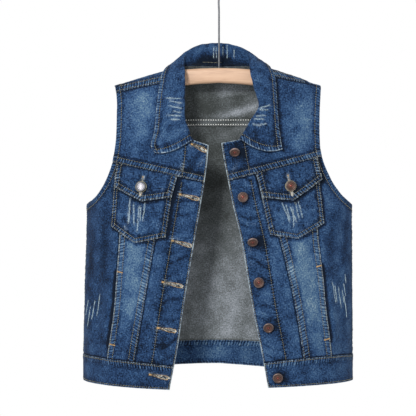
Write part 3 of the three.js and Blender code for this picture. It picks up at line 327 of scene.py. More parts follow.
# buttonholes of the left front: out and height of the outer and inner end
BUTTONHOLES = [((45.5, -303.5), (22.5, -315.0)), ((65.5, -387.0), (34.5, -395.0)),
               ((78.0, -463.5), (47.0, -472.5)), ((93.5, -532.0), (61.5, -539.0)),
               ((101.5, -607.0), (72.0, -612.5)), ((114.0, -683.0), (84.0, -689.0))]
FLAP_HOLES = {"left": ((126.0, -358.5), (130.2, -388.5)), "right": ((113.5, -355.5), (120.5, -388.0))}

# hanger
BAR = [(0, -171.7, -197), (30, -172.4, -198.6), (58, -174.3, -201.4), (80, -177.2, -205.2),
       (104, -182.4, -210.4), (130, -190.0, -216.6), (150, -196.6, -221.6), (165, -202.0, -225.6)]
BAR_THICK = 12.0
WIRE = 3.2
HOOK_INSIDE = 20.0
HOOK_TURN = 205.0
STEM_BEND = 62.0

# camera, measured from the photograph's frame of 416 pixels
FRAME_WIDTH = 707.2           # millimetres across the frame at the hanger's plane
CAMERA_AWAY = 2200.0
CAMERA_X = -18.7
CAMERA_Z = -409.7
SENSOR = 36.0

# floor and light, in metres
FLOOR_HALF = 2.4
FLOOR_Z = -1.25
LIGHT_AT = (-0.85, -2.2, 0.75)
VEST_MIDDLE = (-0.02, 0.0, -0.42)

SIDE = {"left": -1, "right": 1}


def scattered_creases():
    """Rows for the table of creases, of uneven length, depth and direction."""
    rows = []
    for i in range(SMALL_CREASES):
        angle = rng.normal(0, 0.55)
        stretch = 1 / math.cos(angle)
        rows.append(((FRONT, BACK)[i % 2], rng.choice((-1, 1)), rng.uniform(20, 222), rng.uniform(-690, -210),
                     rng.uniform(16, 46) / stretch, rng.uniform(4.5, 9.0) * stretch,
                     rng.uniform(0.3, 0.85) * rng.choice((-1, 1)), math.tan(angle)))
    return rows


CREASES += scattered_creases()


def lerp(a, b, t):
    return a + (b - a) * t


def smooth(value, low, high):
    t = np.clip((value - low) / (high - low), 0, 1)
    return t * t * (3 - 2 * t)


def along(rows, column, z):
    """Smooth curve through one column of a table that is sorted by falling z."""
    table = np.array([[row[0], row[column]] for row in rows], float)
    zs, values = table[:, 0], table[:, 1]
    count = len(zs)
    ahead = np.minimum(np.arange(count) + 1, count - 1)
    behind = np.maximum(np.arange(count) - 1, 0)
    slopes = (values[ahead] - values[behind]) / (zs[ahead] - zs[behind])
    z = np.clip(np.asarray(z, float), zs[-1], zs[0])
    i = np.clip(np.searchsorted(-zs, -z, side="right") - 1, 0, count - 2)
    step = zs[i + 1] - zs[i]
    t = (z - zs[i]) / step
    rise = values[i + 1] - values[i]
    bend = t * (1 - t) * step
    return values[i] + rise * t * t * (3 - 2 * t) + bend * ((1 - t) * slopes[i] - t * slopes[i + 1])


def shoulder_line(x):
    xs, zs = np.array(SHOULDER, float).T
    i = np.clip(np.searchsorted(xs, x, side="left") - 1, 0, len(xs) - 2)
    return zs[i] + (zs[i + 1] - zs[i]) * (x - xs[i]) / (xs[i + 1] - xs[i])


def body_width(side, z):
    return np.where(np.asarray(side) < 0, along(SIDES, 1, z), along(SIDES, 2, z))


def seam_height(seam, distance):
    inner, inner_z, outer, outer_z, rise = seam
    t = (distance - inner) / (outer - inner)
    return lerp(inner_z, outer_z, t) + rise * 4 * t * (1 - t)


def cloth_distance(sheet, side, out, z):
    """Distance along the cloth from the middle, for a point seen out from the middle."""
    out = np.asarray(out, float)
    flat = body_width(side, z) - sheet["turn"]
    turned = np.clip((out - flat) / sheet["turn"], 0, 1)
    return np.where(out <= flat, out, flat + sheet["turn"] * np.arcsin(turned))


def bumps(table, sheet, side, out, z):
    """Sum of the long soft folds of a table at the points."""
    height = np.zeros(np.shape(z))
    for on, fold_side, fold_out, fold_z, long, wide, high, lean in table:
        if on is not sheet:
            continue
        reach = (z - fold_z) / long
        across = (out * side - (fold_out + (z - fold_z) * lean) * fold_side) / wide
        own = (np.asarray(side) == fold_side) | (fold_out <= wide * 3)
        height = height + own * high * np.exp(-reach * reach - across * across)
    return height


def cloth(sheet, a, z):
    """Outer face of the cloth, a being the signed distance along it from the middle."""
    a, z = np.broadcast_arrays(np.asarray(a, float), np.asarray(z, float))
    side = np.where(a < 0, -1.0, 1.0)
    distance = np.abs(a)
    flat = body_width(side, z) - sheet["turn"]
    angle = np.maximum(0, (distance - flat) / sheet["turn"])
    out = np.where(distance <= flat, distance, flat + sheet["turn"] * np.sin(angle))
    drop = np.maximum(0, shoulder_line(side * out) - z)
    rounded = np.sqrt(1 - (1 - np.minimum(1, drop / FALL)) ** 2)
    swing = sheet["swing"] * smooth(drop, SWING_FROM, SWING_FROM + SWING_OVER)
    depth = (sheet["depth"] * rounded + swing) * np.cos(angle)
    fold = bumps(FOLDS, sheet, side, out, z) * rounded
    x = side * (out + fold * np.sin(angle))
    y = sheet["face"] * (depth + fold * np.cos(angle))
    return np.stack([x, y, z], axis=-1)


def unit(vectors):
    return vectors / np.maximum(np.linalg.norm(vectors, axis=-1, keepdims=True), 1e-9)


def ridge(distance, wide, at=0.0):
    """1 at a distance, falling off on both sides of it."""
    return np.exp(-(((distance - at) / wide) ** 2))


def path_steps(points):
    return np.linalg.norm(np.diff(points, axis=0), axis=-1)


def running(steps):
    """Distance of each point from the first, from the steps between them."""
    return np.concatenate([[0], np.cumsum(steps)])


def read_at(at, reach, rows):
    """Rows of a table, read at distances along it."""
    return np.stack([np.interp(at, reach, column) for column in rows.T], 1)


def height_above_foot(points):
    """Distance of each point of a grid from its last row, along its column."""
    up = np.cumsum(path_steps(points)[::-1], axis=0)[::-1]
    return np.concatenate([up, np.zeros((1, points.shape[1]))])


def grid_step(grid, r, c, off):
    """Parts of a double step, down and across, that make up an offset in a grid's plane."""
    down, over = grid[r + 1, c] - grid[r - 1, c], grid[r, c + 1] - grid[r, c - 1]
    det = down[..., 0] * over[..., 1] - down[..., 1] * over[..., 0]
    det = np.where(np.abs(det) < 1e-6, 1e-6, det)
    return ((off[..., 0] * over[..., 1] - off[..., 1] * over[..., 0]) / det,
            (down[..., 0] * off[..., 1] - down[..., 1] * off[..., 0]) / det)


def stepped(grid, r, c, down, over):
    """What a grid holds at parts of a double step from one of its points."""
    down, over = np.asarray(down)[..., None], np.asarray(over)[..., None]
    return grid[r, c] + down * (grid[r + 1, c] - grid[r - 1, c]) + over * (grid[r, c + 1] - grid[r, c - 1])


def cloth_normal(sheet, a, z):
    step = 0.5
    here = cloth(sheet, a, z)
    across = cloth(sheet, np.asarray(a) + step, z) - here
    up = here - cloth(sheet, a, np.asarray(z) - step)
    return unit(np.cross(across, up) * -sheet["face"])


def seen_point(sheet, side, out, z, lift=0.0):
    a = side * cloth_distance(sheet, side, out, z)
    return cloth(sheet, a, z) + cloth_normal(sheet, a, z) * lift


def mottled(a, b, scale, seed, waves=7):
    """Soft irregular pattern between about -1 and 1."""
    picks = np.random.default_rng(seed)
    total = np.zeros(np.shape(a))
    for _ in range(waves):
        direction = picks.uniform(0, 2 * math.pi)
        stretch = picks.uniform(0.6, 1.7) / scale * 2 * math.pi
        phase = picks.uniform(0, 2 * math.pi)
        total = total + np.sin((a * math.cos(direction) + b * math.sin(direction)) * stretch + phase)
    return total / math.sqrt(waves * 2.0)


def parts_of(length, step, near=()):
    """Parts of a length for mesh lines, closer together at both ends and at listed places."""
    edge = np.array(EDGE_LINES)
    inside = max(2, int(round((length - 2 * edge[-1]) / step)))
    middle = np.linspace(edge[-1], length - edge[-1], inside + 1)
    lines = list(edge[:-1]) + list(middle) + list(length - edge[:-1])
    for place in near:
        lines = [line for line in lines if abs(line - place) > 0.9]
        lines += [place - 0.8, place, place + 0.8]
    return np.array(sorted(lines)) / length


class Line:
    """An edge or seam on the pattern, with its finish."""

    def __init__(self, points, finish):
        points = np.asarray(points, float)
        keep = np.linspace(0, len(points) - 1, min(len(points), LINE_POINTS)).round().astype(int)
        self.points = points[np.unique(keep)]
        self.reach = running(path_steps(self.points))
        self.finish, self.name = FINISH[finish], finish
        self.seed = abs(int(self.points[0, 0] * 3 + self.points[-1, 1] * 7)) % 97
        rows = list(self.finish["rows"]) + [NO_ROW] * 2
        self.code = [self.finish["ladder"], self.finish["strip"] / CODE, rows[0] / CODE, rows[1] / CODE]

    def near(self, a, b):
        """Distance to the line and position along it, for each point."""
        flat_a, flat_b = np.ravel(a), np.ravel(b)
        best, where = np.full(flat_a.shape, 1e9), np.zeros(flat_a.shape)
        for start, run, begin in zip(self.points, np.diff(self.points, axis=0), self.reach):
            length2 = np.maximum((run ** 2).sum(), 1e-9)
            da, db = flat_a - start[0], flat_b - start[1]
            t = np.clip((da * run[0] + db * run[1]) / length2, 0, 1)
            distance = np.hypot(da - t * run[0], db - t * run[1])
            closer = distance < best
            best = np.where(closer, distance, best)
            where = np.where(closer, begin + t * math.sqrt(length2), where)
        return best.reshape(np.shape(a)), where.reshape(np.shape(a))

    def pucker(self, distance, where):
        """Uneven wave along the line, which puckers the sewn strip."""
        seed = self.seed
        drift = 0.42 * np.sin(where / 23.0 + seed) + 0.25 * np.sin(where / 9.7 + 2 * seed)
        power = 0.62 + 0.38 * np.sin(where / 37.0 + seed * 1.7)
        return power * np.sin(2 * math.pi * (where / PUCKER + drift) + distance * 0.22)

    def offset(self, amount, toward):
        """Points of the line moved by an amount to the side on which toward lies."""
        count = max(8, int(self.reach[-1] / 1.5))
        points = read_at(np.linspace(0, self.reach[-1], count), self.reach, self.points)
        run = unit(np.gradient(points, axis=0))
        normal = np.stack([-run[:, 1], run[:, 0]], 1)
        half = count // 2
        if np.dot(normal[half], toward - points[half]) < 0:
            normal = -normal
        return points + normal * amount


def inside_polygon(a, b, outline):
    inside = np.zeros(np.shape(a), bool)
    for (x, y), (next_x, next_y) in zip(outline, np.roll(outline, -1, axis=0)):
        if y != next_y:
            spans = (y > b) != (next_y > b)
            inside ^= spans & (a < x + (b - y) * (next_x - x) / (next_y - y))
    return inside


def inner_relief(height):
    """Relief of the inside: ridges of the outside show weaker there, hollows in full."""
    return np.where(height > 0, height * 0.6, height)


class Piece:
    """One piece of cloth: its grid on the pattern, its place in space and its finished lines."""

    def __init__(self, name, a, b, finishes, sheet=None, points=None, normals=None, lift=0.0,
                 thick=CLOTH, tone=0.0, seam_inset=(1, 1, 1, 1)):
        self.name, self.a, self.b = name, a, b
        self.side = SIDE.get(name.rsplit("_", 1)[-1])
        self.sheet, self.lift, self.thick, self.tone = sheet, lift, thick, tone
        self.seam_inset, self.facing_cols = seam_inset, 0
        self.extra, self.holds = [], []
        self.plan = plan = np.stack([a, b], -1)
        self.edges = {"top": plan[0], "foot": plan[-1], "start": plan[:, 0], "end": plan[:, -1]}
        self.lines = [Line(self.edges[edge], finish) for edge, finish in finishes.items()]
        self.outline = np.concatenate([plan[0], plan[1:, -1], plan[-1, -2::-1], plan[-2:0:-1, 0]])
        self.centre = np.array([a.mean(), b.mean()])
        self.points, self.normals = points, normals
        if sheet is not None:
            self.points, self.normals = self.base(a, b)

    def edge_line(self, edge, finish, where):
        """Gives part of an edge its own finish."""
        if where.sum() > 2:
            self.lines.append(Line(self.edges[edge][where], finish))

    def base(self, a, b):
        """Place and normal of pattern points, without relief."""
        if self.sheet is not None:
            normal = cloth_normal(self.sheet, a, b)
            return cloth(self.sheet, a, b) + normal * self.lift, normal
        flat = np.stack([np.ravel(a), np.ravel(b)], 1)
        grid = self.plan.reshape(-1, 2)
        nearest = [np.argmin(((grid - point) ** 2).sum(1)) for point in flat]
        r, c = np.unravel_index(nearest, self.a.shape)
        r, c = np.clip(r, 1, self.a.shape[0] - 2), np.clip(c, 1, self.a.shape[1] - 2)
        place = stepped(self.points, r, c, *grid_step(self.plan, r, c, flat - self.plan[r, c]))
        shape = np.shape(a) + (3,)
        return place.reshape(shape), self.normals[r, c].reshape(shape)

    def look(self, a, b):
        """Relief in millimetres, and how worn and how dark the cloth is, at pattern points; much of the dark
        is painted shade and shadow.
        """
        height = 0.35 * mottled(a, b, 46, 5) + 0.16 * mottled(a, b, 15, 9)
        wear, dark = np.zeros(np.shape(a)), np.zeros(np.shape(a))
        for line in self.lines:
            rule = line.finish
            strip, ladder = rule["strip"], rule["ladder"]
            distance, where = line.near(a, b)
            wave = line.pucker(distance, where)
            on_strip = 1 - smooth(distance, strip - STRIP_SOFT, strip + STRIP_SOFT)
            past = np.exp(-np.clip(distance - strip, 0, None) / PAST_STRIP) * (1 - on_strip)
            beside = ridge(distance - strip, 2.4, BESIDE) * (0.6 + 0.6 * mottled(a, b, 30, line.seed))
            rub = 0.75 + 0.35 * mottled(a, b, 12, line.seed)
            dark_at = strip + 1.4 if rule["lift"] > 0 else 0.0
            height = height + rule["lift"] * on_strip + PUCKER_HIGH * ladder * wave * on_strip
            height = height + PUCKER_PAST * ladder * wave * past - EDGE_DIP * ridge(distance, 0.9)
            for row in rule["rows"]:
                height = height - ROW_DIP * ridge(distance, 0.9, row)
            wear = wear + ladder * (0.1 * np.clip(wave, 0, 1) * on_strip + 0.16 * np.clip(beside, 0, 1))
            wear = wear + rule["edge"] * ridge(distance, 1.3) * rub
            # dark in the pucker hollows: partly dye left unworn there, partly painted shade
            dark = dark + 0.4 * ladder * np.clip(-wave - 0.1, 0, 1) * (on_strip + 0.5 * past)
            # the finish's dark line: painted shadow beside a raised strip or at an edge that lies under one,
            # with some dye left dark
            dark = dark + rule["dark"] * ridge(distance, rule.get("wide", 2.6), dark_at)
        for change in self.extra:
            more_height, more_wear, more_dark = change(a, b)
            height, wear, dark = height + more_height, wear + more_wear, dark + more_dark
        if self.sheet is not None:
            side = np.where(a < 0, -1, 1)
            small = bumps(CREASES, self.sheet, side, np.abs(self.base(a, b)[0][..., 0]), b)
            height = height + small
            # painted shade in the hollows of the small creases; their crests are worn
            dark = dark + np.clip(-small, 0, 1) * 0.3
            wear = wear + np.clip(small, 0, 1) * 0.2
        return height, np.clip(wear, 0, 1), np.clip(dark, 0, 1)

    def fade(self):
        """How washed out the cloth is, from the places listed for its sheet and the piece's tone; some of
        those places and tones paint light and shade instead of a wash.
        """
        x, y, z = np.moveaxis(self.points, -1, 0)
        total = np.full(x.shape, self.tone)
        for sheet, side, out, middle_z, wide, tall, lean, strength in WASH_AND_LIGHT:
            up = (z - middle_z) / tall
            across = (x * side - out - (z - middle_z) * lean) / wide
            total = total + ((y < 0) == (sheet is FRONT)) * strength * np.exp(-up * up - across * across)
        return total + 0.10 * mottled(self.a, self.b, 38, 21) + 0.05 * mottled(self.a, self.b, 13, 22)

    def locate(self, x, z):
        """Pattern point whose cloth is seen at (x, z) from the front."""
        if self.sheet is not None:
            side = -1 if x < 0 else 1
            return side * float(cloth_distance(self.sheet, side, abs(x), z)), z
        seen = self.points[..., ::2]
        away = np.hypot(seen[..., 0] - x, seen[..., 1] - z)
        away = away + np.where(self.normals[..., 1] < 0.1, 0, 1e6) + self.points[..., 1] * FORWARD
        r, c = np.unravel_index(np.argmin(away[1:-1, 1:-1]), (away.shape[0] - 2, away.shape[1] - 2))
        r, c = r + 1, c + 1
        down, over = grid_step(seen, r, c, np.array([x, z]) - seen[r, c])
        return stepped(self.plan, r, c, np.clip(down, -0.6, 0.6), np.clip(over, -0.6, 0.6))

    def sewing(self, faces):
        """For each corner: place along and away from its face's nearest seam, and that seam's code."""
        lines = [line for line in self.lines if line.finish["ladder"] or line.finish["rows"]]
        index = faces % self.a.size
        away, where = np.stack([line.near(self.a.ravel(), self.b.ravel()) for line in lines], 1)
        best = np.argmin(away[:, index].mean(2), axis=0)[:, None]
        seeds = np.array([line.seed for line in lines])
        codes = np.array([line.code for line in lines])
        places = np.stack([where[best, index] + seeds[best] * 31.0, away[best, index]], -1)
        return places, np.repeat(codes[best], faces.shape[1], axis=1)

    def surface(self, a, b, proud=0.0, under=False):
        """Places on the outside or inside of the cloth, proud of it, and the outside's normals."""
        place, normal = self.base(a, b)
        height = self.look(a, b)[0]
        off = inner_relief(height) - self.thick - proud if under else height + proud
        return place + normal * off[..., None], normal


def new_object(name, data):
    obj = bpy.data.objects.new(name, data)
    bpy.context.scene.collection.objects.link(obj)
    return obj


def make_mesh(name, verts, faces, materials, uv=None, attributes=None, face_slots=None, sewing=None):
    mesh = bpy.data.meshes.new(name)
    faces = np.asarray(faces, np.int32)
    count, corners = faces.shape
    mesh.vertices.add(len(verts))
    mesh.vertices.foreach_set("co", np.asarray(verts, np.float32).ravel() * MM)
    mesh.loops.add(count * corners)
    mesh.loops.foreach_set("vertex_index", faces.ravel())
    mesh.polygons.add(count)
    mesh.polygons.foreach_set("loop_start", np.arange(count, dtype=np.int32) * corners)
    if face_slots is not None:
        mesh.polygons.foreach_set("material_index", np.asarray(face_slots, np.int32))
    mesh.polygons.foreach_set("use_smooth", np.full(count, True))
    if uv is not None:
        layer = mesh.uv_layers.new(name="cloth")
        layer.data.foreach_set("uv", (np.asarray(uv, np.float32)[faces.ravel()] * MM).ravel())
    if sewing is not None:
        layer = mesh.uv_layers.new(name="seam")
        layer.data.foreach_set("uv", (sewing[0].astype(np.float32) * MM).ravel())
        code = mesh.color_attributes.new(name="sewing", type="FLOAT_COLOR", domain="CORNER")
        code.data.foreach_set("color", sewing[1].astype(np.float32).ravel())
    for key, values in (attributes or {}).items():
        attribute = mesh.attributes.new(name=key, type="FLOAT", domain="POINT")
        attribute.data.foreach_set("value", np.asarray(values, np.float32))
    mesh.update(calc_edges=True)
    for material in materials:
        mesh.materials.append(material)
    return new_object(name, mesh)


def grid_faces(rows, cols):
    r, c = np.meshgrid(np.arange(rows - 1), np.arange(cols - 1), indexing="ij")
    first = (r * cols + c).ravel()
    return np.stack([first, first + cols, first + cols + 1, first + 1], 1)


def facing(faces, verts, probe, outward):
    """The faces, turned round if the probed one looks away from outward."""
    p0, p1, p2 = verts[faces[probe, :3]]
    return faces[:, ::-1] if np.dot(np.cross(p1 - p0, p2 - p0), outward) < 0 else faces


def enter(obj, node=None):
    """Puts an object in the one body and in the place of a node."""
    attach(obj, "root")
    if node:
        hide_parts(node)
    return obj


def tube_faces(rings, turns):
    """Four-sided faces between rings of points that follow one another."""
    row = np.arange(rings - 1)[:, None] * turns
    here = np.arange(turns)[None]
    after = (here + 1) % turns
    return np.stack([row + here, row + after, row + turns + after, row + turns + here], -1).reshape(-1, 4)


def cloth_mesh(piece, blue_inside):
    """Thin shell of a cloth piece, with its relief and colour fields."""
    rows, cols = piece.a.shape
    height, wear, dark = piece.look(piece.a, piece.b)
    depth = inner_relief(height)[..., None] - np.reshape(piece.thick, (1, -1, 1))
    outer, inner = (draw_in(piece.points + piece.normals * off, piece.seam_inset).reshape(-1, 3)
                    for off in (height[..., None], depth))
    verts = np.concatenate([outer, inner])
    count = rows * cols
    probe = (rows - 1) * (cols - 1) // 2
    front = grid_faces(rows, cols)
    front = facing(front, verts, probe, piece.normals.reshape(-1, 3)[front[probe, 0]])
    behind = front[:, ::-1] + count
    edge = np.concatenate([np.arange(cols), np.arange(1, rows) * cols + cols - 1,
                           (rows - 1) * cols + np.arange(cols - 2, -1, -1),
                           np.arange(rows - 2, 0, -1) * cols])
    after = np.roll(edge, -1)
    rim = np.stack([edge, after, after + count, edge + count], 1)
    rim = facing(rim, verts, 0, verts[rim[0, 0]] - outer.mean(0))
    blue = blue_inside | (np.tile(np.arange(cols - 1), rows - 1) < piece.facing_cols)
    slots = np.concatenate([np.zeros(len(front)), np.where(blue, 0, 1), np.zeros(len(rim))])
    fields = {key: np.concatenate([values.ravel()] * 2)
              for key, values in (("wear", wear), ("shade", dark), ("fade", piece.fade()))}
    faces = np.concatenate([front, behind, rim])
    obj = make_mesh("cloth_" + piece.name, verts, faces, [DENIM, REVERSE],
                    np.concatenate([piece.plan.reshape(-1, 2)] * 2), fields, slots, piece.sewing(faces))
    piece.object = enter(obj, piece.name)


def draw_in(grid, inset):
    """Pulls the edges of a grid in by half a seam gap, one factor each: top, foot, start, end."""
    result = grid.copy()
    for factor, here, beside in ((inset[2], np.s_[:, 0], np.s_[:, 1]), (inset[3], np.s_[:, -1], np.s_[:, -2]),
                                 (inset[0], np.s_[0], np.s_[1]), (inset[1], np.s_[-1], np.s_[-2])):
        if factor:
            inward = unit(result[beside] - result[here])
            result[here] = result[here] + inward * min(0.45, SEAM_GAP / 2 * factor)
    return result


def thread_bars(name, starts, ends, normals, radius, material):
    """Short lengths of thread, each a small tapered bar between two points."""
    run = ends - starts
    length = np.linalg.norm(run, axis=1, keepdims=True)
    x = run / np.maximum(length, 1e-9)
    y = unit(np.cross(normals, x))
    z = np.cross(x, y)
    radius = np.broadcast_to(np.asarray(radius, float), (len(starts),))
    verts = []
    for shift, swell in BAR_RINGS:
        for angle in (np.arange(BAR_SIDES) + 0.5) * 2 * math.pi / BAR_SIDES:
            ring = y * math.cos(angle) + z * math.sin(angle)
            verts.append((starts + ends) / 2 + x * length * shift + ring * (radius * swell)[:, None])
    last = (len(BAR_RINGS) - 1) * BAR_SIDES
    caps = [np.arange(BAR_SIDES)[::-1], last + np.arange(BAR_SIDES)]
    one_bar = np.concatenate([tube_faces(len(BAR_RINGS), BAR_SIDES), caps])
    faces = one_bar[None] + np.arange(len(starts))[:, None, None] * len(verts)
    verts = np.stack(verts, 1).reshape(-1, 3)
    return enter(make_mesh(name, verts, faces.reshape(-1, 4), [material]))


def lay_threads(name, piece, bars, radius, material):
    """Thread that goes with a piece, from groups of (starts, ends, normals). Two radii are a range."""
    starts, ends, normals = (np.concatenate(group) for group in zip(*bars))
    if np.ndim(radius):
        radius = rng.uniform(*radius, len(starts))
    piece.holds.append(thread_bars(name, starts, ends, normals, radius, material))


def row_stitches(piece, line, row, proud, under=False, pitch=STITCH_PITCH):
    """Starts, ends and normals of the stitches of one row that runs beside a line."""
    path = line.offset(row, piece.centre)
    reach = running(path_steps(path))
    count = int(reach[-1] / pitch)
    starts = np.arange(count) * pitch + 0.4
    first, second = (read_at(at, reach, path) for at in (starts, starts + pitch * STITCH_PART))
    middle = (first + second) / 2
    keep = inside_polygon(*middle.T, piece.outline) & (line.near(*middle.T)[0] > row - 0.5)
    if count < 2 or not keep.any():
        return []
    start, normal = piece.surface(*first[keep].T, proud, under)
    return [(start, piece.surface(*second[keep].T, proud, under)[0], normal)]


def sew(piece):
    """All stitch rows of a piece, as one object that goes with its cloth."""
    bars = [bar for line in piece.lines for row in line.finish["rows"]
            for bar in row_stitches(piece, line, row, STITCH_PROUD)]
    lay_threads("stitches_" + piece.name, piece, bars, STITCH_RADIUS, THREAD)


# pieces of cloth


def panel(name, sheet, side, inner, outer, parts, finishes, top=None, foot=None, step=FRONT_STEP,
          near=(), **more):
    """Cloth between two edges given as (out, z) arrays, with its first and last rows on seams."""
    start, stop = (cloth_distance(sheet, side, *edge) for edge in (inner, outer))
    across = parts_of(float(np.abs(stop - start).mean()), step, near)
    distance = lerp(start[:, None], stop[:, None], across[None])
    z = lerp(inner[1][:, None], outer[1][:, None], across[None])
    to_top = 0 if top is None else (top(distance[0]) - z[0])[None] * (1 - parts)[:, None]
    to_foot = 0 if foot is None else (foot(distance[-1]) - z[-1])[None] * parts[:, None]
    return Piece(name, side * distance, z + to_top + to_foot, finishes, sheet=sheet, **more)


def front_seam(side_name, seam, part):
    """A long seam of a lower front as (out, z), at parts of its height."""
    yoke, band = YOKE_SEAM[side_name], BAND_TOP[side_name]
    column = SEAM_COLUMN[side_name, seam]
    z = lerp(yoke[3], band[3], part)
    for _ in range(6):
        distance = cloth_distance(FRONT, SIDE[side_name], along(FRONT_SEAMS, column, z), z)
        z = lerp(seam_height(yoke, distance), seam_height(band, distance), part)
    return along(FRONT_SEAMS, column, z), z


def arm_and_side(side_name, sheet_name, top, foot, part):
    """Armhole and then the side seam as (out, z)."""
    arm_z = lerp(top, ARMPIT, part / ARMPIT_PART)
    side_z = lerp(ARMPIT, foot, (part - ARMPIT_PART) / (1 - ARMPIT_PART))
    arm_out = along(ARMHOLE, ARM_COLUMN[sheet_name, side_name], arm_z)
    on_arm = part <= ARMPIT_PART
    return (np.where(on_arm, arm_out, body_width(SIDE[side_name], side_z)),
            np.where(on_arm, arm_z, side_z))


def panel_parts(step):
    """Parts of a lower panel's height for its mesh rows, one of them at the armpit."""
    parts = parts_of(340.0, step)
    parts[np.argmin(np.abs(parts - ARMPIT_PART))] = ARMPIT_PART
    return parts


def placket_wrinkles(side_name):
    """Short wrinkles across a folded front edge, between the edge and its long stitch row, worn on the
    crests, with painted shade in the troughs.
    """
    seed = 3.1 if side_name == "left" else 7.4

    def change(a, b):
        inward = np.abs(cloth(FRONT, a, b)[..., 0]) - along(FRONT_SEAMS, SEAM_COLUMN[side_name, "edge"], b)
        on = smooth(inward, 0.5, 8) * (1 - smooth(inward, FACING - 6, FACING + 7))
        bend = 1.6 * np.sin(b / 17.0 + seed) + inward / 9.0 + 0.9 * np.sin(inward / 6.0 + b / 31.0)
        power = 0.35 + 0.65 * np.clip(np.sin(b / 19.0 + seed * 2) * np.sin(b / 7.3 + seed) + 0.3, 0, 1)
        wave = np.sin(b / 3.1 + bend) * power * on
        return 0.9 * wave, 0.14 * np.clip(wave, 0, 1), 0.5 * np.clip(-wave - 0.1, 0, 1)
    return change


def marks(places, reach, height, wear, dark):
    """A soft lump, pale or dark, at each listed line (two pattern points)."""
    def change(a, b):
        near = np.full(np.shape(a), 1e9)
        for first, second in places:
            run = np.subtract(second, first)
            t = np.clip(((a - first[0]) * run[0] + (b - first[1]) * run[1]) / np.dot(run, run), 0, 1)
            near = np.minimum(near, np.hypot(a - first[0] - t * run[0], b - first[1] - t * run[1]))
        on = ridge(near, reach)
        return height * on, wear * on, dark * on
    return change


def pattern_point(side_name, place):
    side = SIDE[side_name]
    return side * float(cloth_distance(FRONT, side, *place)), place[1]


def shadow_path(corners, closed=True):
    """The lines between corners, moved the way that the shadows fall."""
    moved = [(a + SHADOW_FALL[0], b + SHADOW_FALL[1]) for a, b in corners]
    after = moved[1:] + moved[:1] if closed else moved[1:]
    return list(zip(moved, after))


def button_shadow(side_name, place, tilt=0.0):
    """The line on the pattern that a button's shadow follows, longer for a tilted head."""
    a, b = pattern_point(side_name, place)
    at = (a + SHADOW_FALL[0], b + SHADOW_FALL[1])
    return [(at, (at[0] + 0.2 * tilt, at[1] - 1.0 + 0.04 * tilt))]


def lower_front(side_name):
    side = SIDE[side_name]
    parts = panel_parts(FRONT_STEP)
    edge, inner, outer = (front_seam(side_name, seam, parts) for seam in ("edge", "inner", "outer"))
    arm = arm_and_side(side_name, "front", YOKE_SEAM[side_name][3], BAND_TOP[side_name][3], parts)
    seams = {"top": lambda d: seam_height(YOKE_SEAM[side_name], d),
             "foot": lambda d: seam_height(BAND_TOP[side_name], d)}
    ends = {"top": "under", "foot": "under"}
    # the side terms of the tones make the right pieces lighter: painted light that evens out the key light,
    # which falls stronger on the left
    centre = panel("front_center_" + side_name, FRONT, side, edge, inner, parts,
                   {**ends, "start": "front_edge", "end": "under"},
                   near=(FACING,), seam_inset=(1, 1, 0, 1), tone=0.07 + 0.03 * side, **seams)
    folded = np.abs(centre.a - centre.a[:, :1]).mean(0) < FACING
    centre.thick = np.where(folded, DOUBLE, CLOTH)
    centre.facing_cols = int(folded.sum())
    centre.lines.append(Line(centre.edges["start"] + (side * FACING, 0), "placket"))
    centre.extra.append(placket_wrinkles(side_name))
    mid = panel("front_mid_" + side_name, FRONT, side, inner, outer, parts,
                {**ends, "start": "felled", "end": "pocket_mouth"}, tone=0.16, **seams)
    flank = panel("front_side_" + side_name, FRONT, side, outer, arm, parts, ends,
                  tone=0.05 + 0.07 * side, seam_inset=(1, 1, 1, 0), **seams)
    on_arm = parts <= ARMPIT_PART
    height = flank.edges["start"][:, 1]
    top, foot = SLITS[side_name]
    for edge, finish, where in (("end", "armhole", on_arm), ("end", "plain", ~on_arm),
                                ("start", "slit", (height < top) & (height > foot)),
                                ("start", "under", height >= top), ("start", "under", height <= foot)):
        flank.edge_line(edge, finish, where)
    return [centre, mid, flank]


def front_yoke(side_name):
    side = SIDE[side_name]
    rows = np.array(YOKE_ROWS[side_name], float)
    steps = path_steps(rows[:, 1:]) + np.abs(np.diff(rows[:, 0]))
    reach = running(steps) / steps.sum()
    parts = parts_of(steps.sum() * 0.6, FRONT_STEP)
    arm_z, inner_out, inner_z = read_at(parts, reach, rows).T
    arm_out = along(ARMHOLE, ARM_COLUMN["front", side_name], arm_z)
    yoke = panel("front_yoke_" + side_name, FRONT, side, (inner_out, inner_z), (arm_out, arm_z), parts,
                 {"top": "under", "foot": "yoke", "end": "armhole"},
                 foot=lambda d: seam_height(YOKE_SEAM[side_name], d), tone=0.03, seam_inset=(1, 1, 1, 0))
    index = np.interp(parts, reach, np.arange(len(rows)))
    corner = np.argmax(rows[:, 2] < YOKE_CORNER_Z)
    low = index >= corner
    yoke.edge_line("start", "front_edge", low)
    yoke.edge_line("start", "neck", (index >= corner - 2) & (index <= corner))
    yoke.lines.append(Line(yoke.edges["start"][low] + (side * FACING, 3), "placket"))
    return yoke


